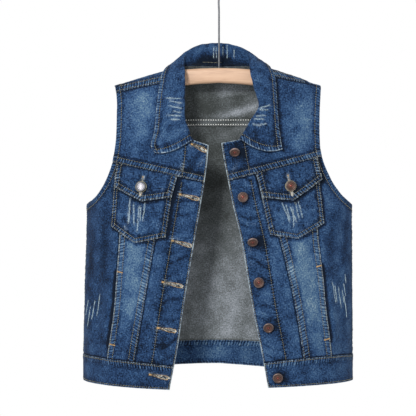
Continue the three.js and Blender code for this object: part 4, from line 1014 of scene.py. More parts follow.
def pointed(name, side_name, shape, lift, finish, thick, tone):
    """A pointed patch or flap: top edge, two sides and a foot that falls to a point."""
    side = SIDE[side_name]
    plan = [(float(cloth_distance(FRONT, side, out, z)), z) for out, z in shape]
    top_in, top_out, foot_out, point, foot_in = plan
    tip = (point[0] - foot_in[0]) / (foot_out[0] - foot_in[0])
    across = parts_of(foot_out[0] - foot_in[0], FRONT_STEP)
    across[np.argmin(np.abs(across - tip))] = tip
    down = parts_of(abs(point[1] - top_in[1]), FRONT_STEP)[:, None]
    across = across[None]
    foot_z = np.where(across < tip, lerp(foot_in[1], point[1], across / tip),
                      lerp(point[1], foot_out[1], (across - tip) / (1 - tip)))
    distance = lerp(lerp(top_in[0], top_out[0], across), lerp(foot_in[0], foot_out[0], across), down)
    z = lerp(lerp(top_in[1], top_out[1], across), foot_z, down)
    finishes = {"foot": finish, "start": finish, "end": finish}
    if finish == "flap":
        finishes["top"] = "plain"
    return Piece(name, side * distance, z, finishes, sheet=FRONT, lift=lift, thick=thick, tone=tone,
                 seam_inset=(0, 0, 0, 0))


def crumple(depth, size, seed):
    """Small dents and ridges all over a piece, worn on top, and dark below with painted shade."""
    def change(a, b):
        bend = mottled(a, b, size, seed)
        return depth * bend, 0.16 * np.clip(bend - 0.3, 0, 1), 0.4 * np.clip(-bend - 0.2, 0, 1)
    return change


def chest_pocket(side_name):
    lift = LAYER_GAP + CLOTH
    # the side term of the pocket's tone is painted light against the key light's stronger left side
    pocket = pointed("pocket_" + side_name, side_name, POCKETS[side_name], lift, "patch", CLOTH,
                     0.08 + 0.05 * SIDE[side_name])
    seam = YOKE_SEAM[side_name]
    shape = [list(corner) for corner in FLAPS[side_name]]
    for corner in shape[:2]:
        corner[1] = seam_height(seam, corner[0]) - FLAP_DROP
    flap_lift = 2 * LAYER_GAP + CLOTH + DOUBLE
    flap = pointed("pocket_flap_" + side_name, side_name, shape, flap_lift, "flap", DOUBLE,
                   0.035 - 0.015 * SIDE[side_name])
    pocket.extra.append(crumple(0.3, 15.0, 31))
    flap.extra.append(crumple(0.4, 11.0, 32))
    return [pocket, flap]


def crest_angle(sheet, x, z):
    drop = np.clip((shoulder_line(x) - z) / FALL, 0, 1)
    return sheet["face"] * np.arccos(1 - drop)


def crest_point(x, angle):
    """Point of the cloth round the shoulder line, positive angles on the back."""
    depth = np.where(angle >= 0, BACK["depth"], FRONT["depth"])
    turn = np.where(angle >= 0, BACK["turn"], FRONT["turn"])
    z = shoulder_line(x) - FALL * (1 - np.cos(angle))
    flat = body_width(x, z) - turn
    turned = np.clip((np.abs(x) - flat) / turn, 0, 1)
    return np.stack([x, depth * np.sin(angle) * np.sqrt(1 - turned * turned), z], -1)


def shoulder_seam(side_name, out):
    neck = YOKE_ROWS[side_name][0]
    arm = along(ARMHOLE, ARM_COLUMN["front", side_name], neck[0])
    at = lambda place: float(cloth_distance(FRONT, SIDE[side_name], place, neck[2]))
    return lerp(neck[2], neck[0], (at(out) - at(neck[1])) / (at(float(arm)) - at(neck[1])))


def grid_normals(points, probe, outward):
    """Normals of a grid of points, turned so that the probed one looks outward."""
    normal = unit(np.cross(np.gradient(points, axis=0), np.gradient(points, axis=1)))
    return -normal if np.dot(normal[probe], outward) < 0 else normal


def back_yoke():
    keys = []
    for seam, crest, top, top_z, sheet in BACK_YOKE_ROWS:
        height = shoulder_seam("left" if top < 0 else "right", abs(top)) if top_z is None else top_z
        seam_turn = float(crest_angle(BACK, seam, BACK_YOKE_Z))
        top_turn = float(crest_angle(sheet, top, height))
        crest_turn = 0.0 if sheet is FRONT else (seam_turn + top_turn) / 2
        keys.append((seam, seam_turn, crest, crest_turn, top, top_turn))
    keys = np.array(keys)
    reach = running(np.hypot(np.diff(keys[:, 0]), np.abs(np.diff(keys[:, 5])) * 55))
    across = parts_of(reach[-1], FRONT_STEP) * reach[-1]
    seam, seam_turn, crest, crest_turn, top, top_turn = read_at(across, reach, keys).T
    down = parts_of(150.0, FRONT_STEP)[:, None]
    early, late = np.clip(down * 2, 0, 1), np.clip(down * 2 - 1, 0, 1)
    x = np.where(down < 0.5, lerp(top, crest, early), lerp(crest, seam, late))
    angle = np.where(down < 0.5, lerp(top_turn, crest_turn, early), lerp(crest_turn, seam_turn, late))
    points = crest_point(x, angle)
    probe = (x.shape[0] // 2, x.shape[1] // 2)
    yoke = Piece("back_yoke", x, height_above_foot(points),
                 {"foot": "yoke", "start": "armhole", "end": "armhole"}, points=points,
                 normals=grid_normals(points, probe, (0, 0.5, 0.8)), tone=0.1, seam_inset=(2, 1, 0, 0))
    shoulder = (top_turn < -0.2) & (np.abs(top) > 78)
    yoke.edge_line("top", "shoulder", shoulder & (top < 0))
    yoke.edge_line("top", "shoulder", shoulder & (top > 0))
    return yoke


def back_height(edge, x, side):
    part = np.minimum(1, np.abs(x) / body_width(side, edge[1]))
    return lerp(edge[0], edge[1], part ** np.where(np.asarray(side) < 0, edge[2], edge[3]))


def back_panels():
    parts = panel_parts(BACK_STEP)

    def seam(side):
        z = lerp(BACK_YOKE_Z, float(back_height(BACK_BAND_TOP, BACK_SEAM[1], side)), parts)
        return lerp(BACK_SEAM[0], BACK_SEAM[1], (z - BACK_YOKE_Z) / (BACK_BAND_TOP[1] - BACK_YOKE_Z)), z

    out = seam(1)[0]
    across = parts_of(2 * float(out.mean()), BACK_STEP)
    x = lerp(-out[:, None], out[:, None], across[None])
    z = lerp(BACK_YOKE_Z, back_height(BACK_BAND_TOP, x, np.sign(x)), parts[:, None])
    ends = {"top": "under", "foot": "under"}
    pieces = [Piece("back_center", x, z, {**ends, "start": "felled", "end": "felled"}, sheet=BACK, tone=0.12)]
    for side_name, side in SIDE.items():
        arm = arm_and_side(side_name, "back", BACK_YOKE_Z, BACK_BAND_TOP[1], parts)
        flank = panel("back_side_" + side_name, BACK, side, seam(side), arm, parts,
                      {**ends, "start": "under"}, foot=lambda d: back_height(BACK_BAND_TOP, d, side),
                      step=BACK_STEP, tone=0.06, seam_inset=(1, 1, 1, 0))
        flank.edge_line("end", "armhole", parts <= ARMPIT_PART)
        flank.edge_line("end", "felled", parts > ARMPIT_PART)
        pieces.append(flank)
    return pieces


def waistband():
    lift = (DOUBLE - CLOTH) / 2
    parts = parts_of(40.0, FRONT_STEP)
    pieces = []
    for side_name, side in SIDE.items():
        top, foot = BAND_TOP[side_name], BAND_FOOT[side_name]
        inner_z, outer_z = (lerp(top[k], foot[k], parts) for k in (1, 3))
        inner_out = along(FRONT_SEAMS, SEAM_COLUMN[side_name, "edge"], inner_z)
        # the side term of the band's tone is painted light against the key light's stronger left side
        pieces.append(panel("waistband_" + side_name, FRONT, side, (inner_out, inner_z),
                            (body_width(side, outer_z), outer_z), parts,
                            {"top": "band_top", "foot": "hem", "start": "front_edge", "end": "plain"},
                            top=lambda d: seam_height(top, d), foot=lambda d: seam_height(foot, d),
                            lift=lift, thick=DOUBLE, tone=0.06 + 0.04 * side, seam_inset=(1, 0, 0, 0)))
    z = lerp(BACK_BAND_TOP[1], BACK_BAND_FOOT[1], parts)
    left, right = (side * cloth_distance(BACK, side, body_width(side, z), z) for side in (-1, 1))
    across = parts_of(float((right - left).mean()), BACK_STEP)
    a = lerp(left[:, None], right[:, None], across[None])
    side = np.sign(a) + (a == 0)
    x = np.minimum(np.abs(a), body_width(side, z[:, None]))
    b = lerp(back_height(BACK_BAND_TOP, x, side), back_height(BACK_BAND_FOOT, x, side), parts[:, None])
    pieces.append(Piece("waistband_back", a, b, {"top": "band_top", "foot": "hem"}, sheet=BACK,
                        lift=lift, thick=DOUBLE, tone=0.05, seam_inset=(1, 0, 0, 0)))
    return pieces


def through(points, count):
    """Centripetal curve through rows of points, read at evenly spaced row numbers."""
    points = np.asarray(points, float)
    padded = np.concatenate([[2 * points[0] - points[1]], points, [2 * points[-1] - points[-2]]])
    at = np.linspace(0, len(points) - 1, count)
    i = np.minimum(at.astype(int), len(points) - 2)
    t = (at - i).reshape((-1,) + (1,) * (points.ndim - 1))
    p0, p1, p2, p3 = (padded[i + k] for k in range(4))
    gap = lambda a, b: np.sqrt(np.maximum(np.linalg.norm(b - a, axis=-1, keepdims=True), 1e-6))
    d0, d1, d2 = gap(p0, p1), gap(p1, p2), gap(p2, p3)
    first = ((p1 - p0) / d0 - (p2 - p0) / (d0 + d1) + (p2 - p1) / d1) * d1
    last = ((p2 - p1) / d1 - (p3 - p1) / (d1 + d2) + (p3 - p2) / d2) * d1
    return (p1 + first * t + (-3 * p1 + 3 * p2 - 2 * first - last) * t * t
            + (2 * p1 - 2 * p2 + first + last) * t ** 3)


def collar_section(side, foot, roll, edge, turn, sag, bulge=COLLAR_BULGE):
    base = seen_point(foot[2], side, foot[0], foot[1], foot[3])
    fold = np.array([side * roll[0], roll[1], roll[2]], float)
    hem = seen_point(edge[2], side, edge[0], edge[1], LEAF_LIFT)
    inward = unit(unit(base - fold) + unit(hem - fold))
    facing = np.array([side * math.sin(math.radians(turn)), math.cos(math.radians(turn)), 0.0])
    facing = unit(facing - inward * np.dot(facing, inward))
    centre = fold + inward * COLLAR_ROLL
    t = np.linspace(0, math.pi, 9)[:, None]
    over = centre - facing * COLLAR_ROLL * np.cos(t) - inward * COLLAR_ROLL * np.sin(t)
    start = base + unit(over[0] - base) * 1.0
    stand = lerp(start, over[0], np.linspace(0, 1, 9)[:-1, None])
    t = parts_of(46.0, FRONT_STEP)[1:, None]
    fall = lerp(over[-1], hem, t) + facing * bulge * 4 * t * (1 - t)
    fall[:, 2] -= sag * 4 * t[:, 0] * (1 - t[:, 0])
    return np.concatenate([stand, over, fall])


def collar():
    fine = through([collar_section(*row) for row in COLLAR_ROWS], 900)
    reach = running(path_steps(fine[:, -1]))
    at = parts_of(reach[-1], FRONT_STEP) * reach[-1]
    picks = np.interp(at, reach, np.arange(len(fine)))
    low = np.minimum(picks.astype(int), len(fine) - 2)
    middle = lerp(fine[low], fine[low + 1], (picks - low)[:, None, None]).transpose(1, 0, 2)
    height = height_above_foot(middle)
    normals = grid_normals(middle, (-20, 20), (0, -1, 0))
    piece = Piece("collar", np.broadcast_to(at, height.shape), height,
                  {"foot": "collar", "start": "collar", "end": "collar"},
                  points=middle + normals * DOUBLE / 2, normals=normals, thick=DOUBLE, tone=0.08,
                  seam_inset=(0, 0, 0, 0))
    piece.edge_line("top", "stand", height[0] > STAND_SHADE[1])
    # painted shade on the stand under the roll
    piece.extra.append(lambda a, b: (0 * b, 0 * b, 0.9 * smooth(b, *STAND_SHADE)))
    piece.extra.append(crumple(0.35, 24.0, 33))
    return piece


# materials

def linear(red, green, blue):
    """Colour as the renderer wants it, from screen values of 0 to 255."""
    values = [value / 255 for value in (red, green, blue)]
    return tuple(v / 12.92 if v <= 0.04045 else ((v + 0.055) / 1.055) ** 2.4 for v in values) + (1.0,)


class Graph:
    """Short way to build a node material."""

    def __init__(self, name, roughness=0.8, metallic=0.0, sheen=0.0):
        self.material = bpy.data.materials.new(name)
        self.material.use_nodes = True
        self.tree = self.material.node_tree
        self.shader = self.tree.nodes["Principled BSDF"]
        self.shader.inputs["Roughness"].default_value = roughness
        self.shader.inputs["Metallic"].default_value = metallic
        self.shader.inputs["Sheen Weight"].default_value = sheen

    def put(self, socket, value):
        if isinstance(value, bpy.types.NodeSocket):
            self.tree.links.new(value, socket)
        else:
            socket.default_value = value

    def node(self, kind, inputs=(), **settings):
        """A node with its settings, and with pairs of an input and its value or source."""
        node = self.tree.nodes.new("ShaderNode" + kind)
        for key, value in settings.items():
            setattr(node, key, value)
        for key, value in inputs:
            self.put(node.inputs[key], value)
        return node

    def maths(self, operation, *terms):
        return self.node("Math", enumerate(terms), operation=operation).outputs[0]

    def total(self, *terms):
        """Sum of (value, factor) pairs."""
        result = 0.0
        for value, factor in terms:
            result = self.maths("MULTIPLY_ADD", value, factor, result)
        return result

    def field(self, name):
        return self.node("Attribute", attribute_name=name).outputs["Fac"]

    def place(self, scale=(1, 1, 1), uv=True, turn=0.0):
        """Texture coordinates in metres, on the cloth or in space, stretched and turned."""
        source = (self.node("UVMap", uv_map="cloth").outputs[0] if uv
                  else self.node("TexCoord").outputs["Object"])
        inputs = [("Rotation", (0, 0, turn)), ("Scale", scale), ("Vector", source)]
        return self.node("Mapping", inputs).outputs[0]

    def noise(self, place, scale, detail=3.0, rough=0.6):
        inputs = [("Vector", place), ("Scale", scale), ("Detail", detail), ("Roughness", rough)]
        return self.node("TexNoise", inputs).outputs["Fac"]

    def wave(self, place, scale, distortion=0.0):
        inputs = [("Vector", place), ("Scale", scale), ("Distortion", distortion)]
        return self.node("TexWave", inputs).outputs["Fac"]

    def ramp(self, value, stops):
        node = self.node("ValToRGB", [(0, value)])
        elements = node.color_ramp.elements
        while len(elements) < len(stops):
            elements.new(0.5)
        for element, (at, colour) in zip(elements, stops):
            element.position, element.color = at, linear(*colour)
        return node.outputs[0]

    def blend(self, amount, first, second):
        return self.node("Mix", [(0, amount), (6, first), (7, second)], data_type="RGBA").outputs[2]

    def between(self, value, low, high):
        inputs = [("Value", value), ("From Min", low), ("From Max", high)]
        return self.node("MapRange", inputs, interpolation_type="SMOOTHSTEP").outputs[0]

    def done(self, colour, bump=None, depth=0.001, strength=0.5):
        self.put(self.shader.inputs["Base Color"], colour)
        if bump is not None:
            inputs = [("Strength", strength), ("Distance", depth), ("Height", bump)]
            self.put(self.shader.inputs["Normal"], self.node("Bump", inputs).outputs[0])
        return self.material


def denim_material():
    g = Graph("washed_denim", roughness=0.92, sheen=0.02)
    g.shader.inputs["Sheen Roughness"].default_value = 0.5
    g.shader.inputs["Specular IOR Level"].default_value = 0.08
    fine = g.noise(g.place(), 430.0, 3.0, 0.75)
    slub = g.noise(g.place((620, 120, 1)), 1.0, 2.0, 0.6)
    weft = g.noise(g.place((130, 900, 1)), 1.0, 2.0, 0.6)
    speckle = g.noise(g.place(), 380.0, 1.0, 0.5)
    cloud = g.noise(g.place(), 70.0, 4.0, 0.65)
    twill = g.wave(g.place(turn=math.radians(58)), 330.0, 0.6)

    # place along and away from the nearest seam, and what its finish says
    seam = g.node("SeparateXYZ", [(0, g.node("UVMap", uv_map="seam").outputs[0])])
    code = g.node("Attribute", attribute_name="sewing")
    ladder, strip, row = g.node("SeparateColor", [(0, code.outputs["Color"])]).outputs
    away = g.maths("MULTIPLY", seam.outputs[1], 1000.0 / CODE)
    on_strip = g.between(g.total((strip, 1.0), (away, -1.0)), -0.05, 0.05)
    power = g.maths("MULTIPLY", ladder, on_strip)

    # rungs of wear across the sewn strips, and the ditches in which the stitches lie, darkened as painted
    # shade
    rung_at = g.node("CombineXYZ", [(0, g.total((seam.outputs[0], 290.0), (seam.outputs[1], 90.0))),
                                    (1, g.maths("MULTIPLY", seam.outputs[1], 60.0))]).outputs[0]
    rungs = g.total((g.noise(rung_at, 1.0, 2.0, 0.55), 0.71), (g.wave(rung_at, 0.22, 2.8), 0.29))
    pale_rung = g.maths("MULTIPLY", g.between(rungs, 0.53, 0.68), power)
    dark_rung = g.maths("MULTIPLY", g.between(g.maths("SUBTRACT", 1.0, rungs), 0.52, 0.66), power)
    ditch = 0.0
    for place in (row, code.outputs["Alpha"]):
        off = g.maths("ABSOLUTE", g.maths("SUBTRACT", away, place))
        ditch = g.maths("MAXIMUM", g.between(g.maths("SUBTRACT", 0.075, off), 0.0, 0.06), ditch)

    # the shade field darkens by painted shade and shadow, with some dye left dark by seams; the wash field
    # adds washes and painted light and shade
    tone = g.total((g.field("fade"), 0.74), (g.field("shade"), -0.5), (fine, 1.2), (speckle, 0.6),
                   (slub, 0.45), (weft, 0.22), (cloud, 0.4), (twill, 0.06), (pale_rung, 0.36),
                   (dark_rung, -0.38), (ditch, -0.25), (-1.2, 1.0))
    dyed = g.ramp(tone, [(0.0, (5, 14, 27)), (0.22, (18, 38, 66)), (0.45, (39, 64, 96)),
                         (0.72, (72, 95, 114)), (1.0, (118, 133, 142))])
    rub = g.between(g.total((g.field("wear"), 1.0), (fine, 0.7), (slub, 0.25), (pale_rung, 0.22)), 0.62, 1.25)
    grain = g.total((twill, 0.4), (fine, 0.8), (slub, 0.5), (weft, 0.3),
                    (rungs, g.maths("MULTIPLY", power, 2.6)), (ditch, -0.6))
    return g.done(g.blend(rub, dyed, linear(140, 154, 162)), grain, 0.0008, 0.7)


def reverse_material():
    g = Graph("denim_reverse", roughness=0.92, sheen=0.06)
    g.shader.inputs["Specular IOR Level"].default_value = 0.1
    fine = g.noise(g.place(), 400.0, 3.0, 0.75)
    cloud = g.noise(g.place(), 34.0, 3.0, 0.6)
    cross = g.wave(g.place(turn=math.radians(-58)), 300.0, 0.8)
    # the shade field paints shade; the wash field paints the light and shade inside the back
    tone = g.total((fine, 1.2), (cloud, 0.35), (cross, 0.1), (g.field("shade"), -0.25),
                   (g.field("fade"), 0.8), (-0.73, 1.0))
    colour = g.ramp(tone, [(0.0, (47, 51, 51)), (0.35, (82, 87, 90)), (0.7, (130, 136, 144)),
                           (1.0, (178, 184, 190))])
    return g.done(colour, g.total((fine, 0.7), (cross, 0.4)), 0.0007, 0.6)


def thread_material(name, dark, light):
    g = Graph(name, roughness=0.75, sheen=0.1)
    spots = g.noise(g.place(uv=False), 260.0, 3.0, 0.7)
    fibre = g.noise(g.place(uv=False), 2600.0, 2.0, 0.6)
    colour = g.ramp(g.total((spots, 1.1), (fibre, 0.4), (-0.25, 1.0)), [(0.15, dark), (0.85, light)])
    return g.done(colour, fibre, 0.0002, 0.4)


def metal_material(name, stops, roughness):
    """Worn metal, its colour by the distance from a button's middle where it has one: light rings that are
    painted highlights and dark rings that are painted shade.
    """
    g = Graph(name, roughness=roughness, metallic=0.7)
    spots = g.noise(g.place(uv=False), 700.0, 4.0, 0.7)
    wide = g.noise(g.place(uv=False), 110.0, 2.0, 0.5)
    colour = g.ramp(g.total((g.field("ring"), 1.0), (spots, 0.16), (-0.08, 1.0)), stops)
    patches = g.maths("MULTIPLY", g.between(wide, 0.35, 0.75), 0.4)
    colour = g.blend(patches, colour, linear(*stops[len(stops) // 2][1]))
    g.put(g.shader.inputs["Roughness"], g.total((spots, 0.3), (roughness - 0.15, 1.0)))
    return g.done(colour, spots, 0.0004, 0.4)


def wood_material():
    g = Graph("beech_wood", roughness=0.5)
    grain = g.noise(g.place((14, 200, 160), uv=False), 1.0, 4.0, 0.6)
    flecks = g.noise(g.place((60, 900, 700), uv=False), 1.0, 2.0, 0.7)
    tone = g.total((grain, 0.8), (flecks, 0.45), (-0.12, 1.0))
    colour = g.ramp(tone, [(0.15, (128, 100, 80)), (0.5, (158, 129, 106)), (0.9, (172, 144, 122))])
    return g.done(colour, g.total((grain, 0.3), (flecks, 0.5)), 0.0003, 0.3)


DENIM = denim_material()
REVERSE = reverse_material()
THREAD = thread_material("tan_thread", (90, 92, 82), (158, 152, 124))
ORANGE = thread_material("orange_thread", (104, 80, 44), (172, 138, 88))
PALE = thread_material("pale_cotton", (104, 128, 138), (168, 186, 192))
WHITE = thread_material("white_thread", (196, 200, 198), (240, 242, 240))
FRAY = thread_material("frayed_cotton", (96, 100, 100), (196, 194, 184))
# light rings and rim: painted highlights; dark rings and outline: painted shade
COPPER = metal_material("worn_copper", [(0.0, (120, 62, 54)), (0.16, (96, 48, 42)), (0.26, (30, 20, 20)),
                                        (0.42, (98, 66, 56)), (0.56, (26, 19, 19)), (0.72, (96, 72, 64)),
                                        (0.82, (20, 15, 16)), (0.95, (116, 100, 96))], 0.45)
SILVER = metal_material("worn_silver", [(0.0, (190, 188, 196)), (0.34, (168, 166, 174)), (0.44, (84, 84, 92)),
                                        (0.56, (150, 150, 156)), (0.68, (52, 54, 62)), (0.8, (96, 98, 104)),
                                        (0.92, (24, 28, 36))], 0.45)
STEEL = metal_material("hook_steel", [(0.0, (74, 76, 80)), (1.0, (102, 104, 108))], 0.35)
WOOD = wood_material()


# thread, frays and hardware

def on_front(piece, places, proud):
    """Surface points and normals of a front piece, from places seen out from the middle."""
    out, z = np.moveaxis(np.asarray(places, float), -1, 0)
    return piece.surface(piece.side * cloth_distance(FRONT, piece.side, out, z), z, proud)


def laid(piece, at, to, proud):
    """Starts, ends and normals of threads that lie on a front piece."""
    start, normal = on_front(piece, at, proud)
    return start, on_front(piece, to, proud)[0], normal


def thread_block(name, piece, first, second, width=2.4, count=12):
    """Close threads laid across the line from first to second: a bar tack."""
    first, run = np.asarray(first), np.subtract(second, first)
    across = np.array([-run[1], run[0]]) / np.hypot(*run) * width / 2 * rng.uniform(0.8, 1.15, (count, 1))
    middle = first + run * ((np.arange(count) + 0.5) / count)[:, None]
    bars = laid(piece, middle - across, middle + across, 0.45)
    lay_threads(name, piece, [bars], TACK_RADIUS, ORANGE)


def buttonhole(name, piece, first, second, half=3.7):
    """A worn buttonhole: a knot at first, threads round a slit that widens, and frayed ends inside."""
    first, second = np.array(first, float), np.array(second, float)
    length = np.hypot(*(second - first))
    run = (second - first) / length
    over = np.array([-run[1], run[0]])

    def width(t):
        return half * (0.3 + 0.7 * smooth(t, 0.1, 0.75)) * np.sqrt(np.clip(1 - ((t - 0.5) / 0.52) ** 8, 0, 1))

    count = int(length / 1.0)
    t = (np.arange(count) + 0.5) / count
    middle = first + run * (t * length)[:, None]
    starts, stops = [], []
    for way in (-1, 1):
        rim = over * (way * width(t) * rng.uniform(0.86, 1.1, count))[:, None]
        starts.append(middle + rim * 0.66)
        stops.append(middle + rim + run * rng.uniform(-0.5, 0.5, (count, 1)))
    turn = np.linspace(-1.2, 1.2, 8)[:, None]
    spread = (run * np.cos(turn) + over * np.sin(turn)) * half
    starts.append(second - run * half * 0.8 + spread * 0.62)
    stops.append(second - run * half * 0.8 + spread)
    knot = rng.uniform(-1, 1, (12, 2)) * half / 3.7 * 2.4 + 0.6
    starts.append(first + run * knot[:, :1] - over * half * 0.4)
    stops.append(first + run * knot[:, 1:] + over * half * 0.4)
    bars = laid(piece, np.concatenate(starts), np.concatenate(stops), 0.3)
    lay_threads(name, piece, [bars], TACK_RADIUS, ORANGE)
    frays = int(length * 1.7)
    t = 1 - 0.85 * rng.uniform(0, 1, frays) ** 1.6
    inside = width(t) * rng.uniform(-0.72, 0.72, frays)
    at = first + run * (t * length)[:, None] + over * inside[:, None]
    to = at + run * rng.uniform(1.2, 4.0, (frays, 1)) + over * rng.uniform(-1.3, 1.3, (frays, 1))
    lay_threads(name + "_frays", piece, [laid(piece, at, to, 0.45)], (0.18, 0.34), FRAY)


def thread_ring(name, piece, middle):
    """Threads that lie round a button's head, in two turns."""
    turn = np.linspace(0, 2 * math.pi, 29)
    circle = np.stack([np.cos(turn), np.sin(turn)], 1)
    bars = []
    for radius in (BUTTON_D / 2, BUTTON_D / 2 + 0.5):
        place, normal = on_front(piece, middle + radius * circle, 0.5)
        bars.append((place[:-1], place[1:], normal[1:]))
    lay_threads(name, piece, bars, RING_RADIUS, THREAD)


def strokes(name, piece, places):
    """Bundles of fine hairs where the cloth is scratched through to its pale yarns."""
    bars = []
    for x0, z0, x1, z1 in places:
        first, last = (np.array(piece.locate(x, z)) for x, z in ((x0, z0), (x1, z1)))
        length = np.linalg.norm(last - first)
        over = np.array([first[1] - last[1], last[0] - first[0]]) / length
        count = max(4, int(length / 2.2))
        for hair in range(3):
            t = np.linspace(rng.uniform(0, 0.1), rng.uniform(0.86, 1.0), count)
            swing, turn, aside = rng.uniform(0.2, 0.7), rng.uniform(0, 6), (hair - 1) * 0.6
            away = aside + swing * np.sin(t * length / rng.uniform(2.6, 5.5) + turn)
            spots = first + (last - first) * t[:, None] + over * away[:, None]
            place, normal = piece.surface(*spots.T, 0.12)
            keep = rng.uniform(0, 1, count - 1) < 0.8
            bars.append((place[:-1][keep], place[1:][keep], normal[1:][keep]))
    lay_threads(name, piece, bars, (0.14, 0.26), PALE)


def lathe(profile, turns, centre, axis):
    """Points and faces of a turned shape, its profile given as (radius, height)."""
    over = unit(np.cross(axis, (0.3, 0.2, 1.0)))
    angles = np.linspace(0, 2 * math.pi, turns, endpoint=False)[:, None]
    ring = np.cos(angles) * over + np.sin(angles) * np.cross(axis, over)
    rows = [centre + ring * max(radius, 0.01) + axis * height for radius, height in profile]
    return np.concatenate(rows), tube_faces(len(profile), turns)


def button(name, piece, place, tilt, material):
    """A tack button on its short post, its head tilted to look down."""
    seat, normal = on_front(piece, place, 0.0)
    angle = math.radians(tilt)
    axis = unit(normal * math.cos(angle) + np.array([0, 0, -1.0]) * math.sin(angle))
    r = BUTTON_D / 2
    post = 0.6 + r * math.sin(angle) * 0.55
    head = seat + normal * post
    profile = [(0.0, -0.2), (r * 0.6, -0.1), (r * 0.93, 0.7), (r, 1.3)]
    profile += [(r * wide, 0.2 + BUTTON_TALL * tall) for wide, tall in BUTTON_RINGS]
    verts, faces = lathe(profile, BUTTON_TURNS, head, axis)
    stalk, stalk_faces = lathe([(2.4, -post - 0.6), (2.2, 0.3)], BUTTON_TURNS, head, unit(normal))
    ring = np.repeat([radius / r for radius, _ in profile] + [0.9, 0.9], BUTTON_TURNS)
    obj = make_mesh("tack_" + name, np.concatenate([verts, stalk]),
                    np.concatenate([faces, stalk_faces + len(verts)]), [material], attributes={"ring": ring})
    enter(obj, name)


def hanger_bar():
    """The wooden bar: an upright rounded section swept along the stations."""
    half, turns, sections = BAR_THICK / 2, 36, 120
    known = np.array([(-out, top, foot) for out, top, foot in BAR[:0:-1]] + BAR, float)
    end = known[-1, 0]
    outs = np.linspace(-end, end, sections)
    angles = (np.arange(turns) + 0.5) / turns * 2 * math.pi
    inset = np.clip((end - np.abs(outs)) / 3.0, 0, 1)
    round_end = np.sqrt(1 - (1 - inset) ** 2) * 0.35 + 0.65
    verts = []
    for (x, top, foot), swell in zip(read_at(outs, known[:, 0], known), round_end):
        middle_z = np.where(np.sin(angles) > 0, top - half, foot + half)
        y, z = half * swell * np.cos(angles), middle_z + half * swell * np.sin(angles)
        verts.append(np.stack([np.full(turns, x), y, z], 1))
    i = np.arange(turns // 2 - 1)
    cap = np.stack([i, i + 1, turns - 2 - i, turns - 1 - i], 1)
    faces = np.concatenate([tube_faces(sections, turns), cap[:, ::-1], cap + (sections - 1) * turns])
    enter(make_mesh("bar_wood", np.concatenate(verts), faces[:, ::-1], [WOOD]), "hanger_bar")


def hanger_hook():
    """The wire: an open hook round the origin's rail and a stem down to the bar."""
    middle, turns = HOOK_INSIDE + WIRE / 2, 20
    arc = np.radians(90 + HOOK_TURN / 2 + 20 - np.linspace(0, 1, 17) * HOOK_TURN)
    path = [(middle * math.cos(angle), 0, middle * math.sin(angle) - HOOK_INSIDE) for angle in arc]
    leave = path[-1]
    bend_end = leave[2] - STEM_BEND / 2
    foot = BAR[0][1] - 1.5
    path += [(leave[0] * 0.42, 0, lerp(leave[2], bend_end, 0.5)), (0.6, 0, bend_end)]
    path += [(0, 0, lerp(bend_end, foot, t)) for t in (0.25, 0.5, 0.75, 1)]
    fine = through(path, 160)
    side = np.array([0, 1.0, 0])
    up = np.cross(unit(np.gradient(fine, axis=0)), side)
    angles = (np.arange(turns) / turns * 2 * math.pi)[None, :, None]
    near_tip = np.clip(np.linalg.norm(fine - fine[0], axis=1) / 1.6, 0, 1)
    radius = WIRE / 2 * np.sqrt(np.clip(1 - (1 - near_tip) ** 2, 0.02, 1))
    ring = np.cos(angles) * side + np.sin(angles) * up[:, None]
    verts = (fine[:, None] + ring * radius[:, None, None]).reshape(-1, 3)
    enter(make_mesh("hook_wire", verts, tube_faces(len(fine), turns), [STEEL]), "hanger_hook")


# the vest

pieces = {}
for side_name in SIDE:
    for piece in [front_yoke(side_name)] + lower_front(side_name) + chest_pocket(side_name):
        pieces[piece.name] = piece
for piece in [back_yoke()] + back_panels() + waistband() + [collar()]:
    pieces[piece.name] = piece


def down_edge(side_name, places):
    """Number, piece and place of each button or buttonhole down a front edge."""
    owners = ["front_yoke_"] + ["front_center_"] * 4 + ["waistband_"]
    return [(i + 1, pieces[owner + side_name], place) for i, (owner, place) in enumerate(zip(owners, places))]


def paint_shadow(name, lines, reach, dark):
    """Paints a shadow on a piece along lines on its pattern."""
    pieces[name].extra.append(marks(lines, reach, 0.0, 0.0, dark))


# each buttonhole: a raised worn lump round it, and a sunk slit darkened with painted shade
for _, piece, hole in down_edge("left", BUTTONHOLES):
    ends = [pattern_point("left", place) for place in hole]
    piece.extra += [marks([ends], 6.5, 0.5, 0.22, 0.0), marks([ends], 2.4, -0.9, 0.0, 1.0)]
for side_name, hole in FLAP_HOLES.items():
    ends = [pattern_point(side_name, place) for place in hole]
    pieces["pocket_flap_" + side_name].extra.append(marks([ends], 4.0, 0.2, 0.4, 0.0))

# painted shadows: below and to the right of pockets and flaps, under the collar leaves on the yokes, and
# below the buttons
for side_name, side in SIDE.items():
    pocket, flap = ([pattern_point(side_name, place) for place in table[side_name]]
                    for table in (POCKETS, FLAPS))
    for kind in ("front_center_", "front_mid_", "front_side_"):
        paint_shadow(kind + side_name, shadow_path(pocket), 3.4, 0.8)
        paint_shadow(kind + side_name, shadow_path(flap), 4.2, 1.2)
        if side_name == "right":
            paint_shadow(kind + side_name, [flap[1:3]], 7.5, 0.9)
    paint_shadow("pocket_" + side_name, shadow_path(flap), 3.4, 0.9)
    leaf = [pattern_point(side_name, row[3][:2]) for row in COLLAR_ROWS
            if row[0] == side and row[3][2] is FRONT]
    paint_shadow("front_yoke_" + side_name, shadow_path(leaf, closed=False), 4.0, 0.6)
for _, piece, (out, z, tilt) in down_edge("right", EDGE_BUTTONS):
    paint_shadow(piece.name, button_shadow("right", (out, z), tilt), BUTTON_D * 0.56, 1.1)
for side_name, place in FLAP_BUTTONS.items():
    paint_shadow("pocket_flap_" + side_name, button_shadow(side_name, place), BUTTON_D * 0.56, 1.1)

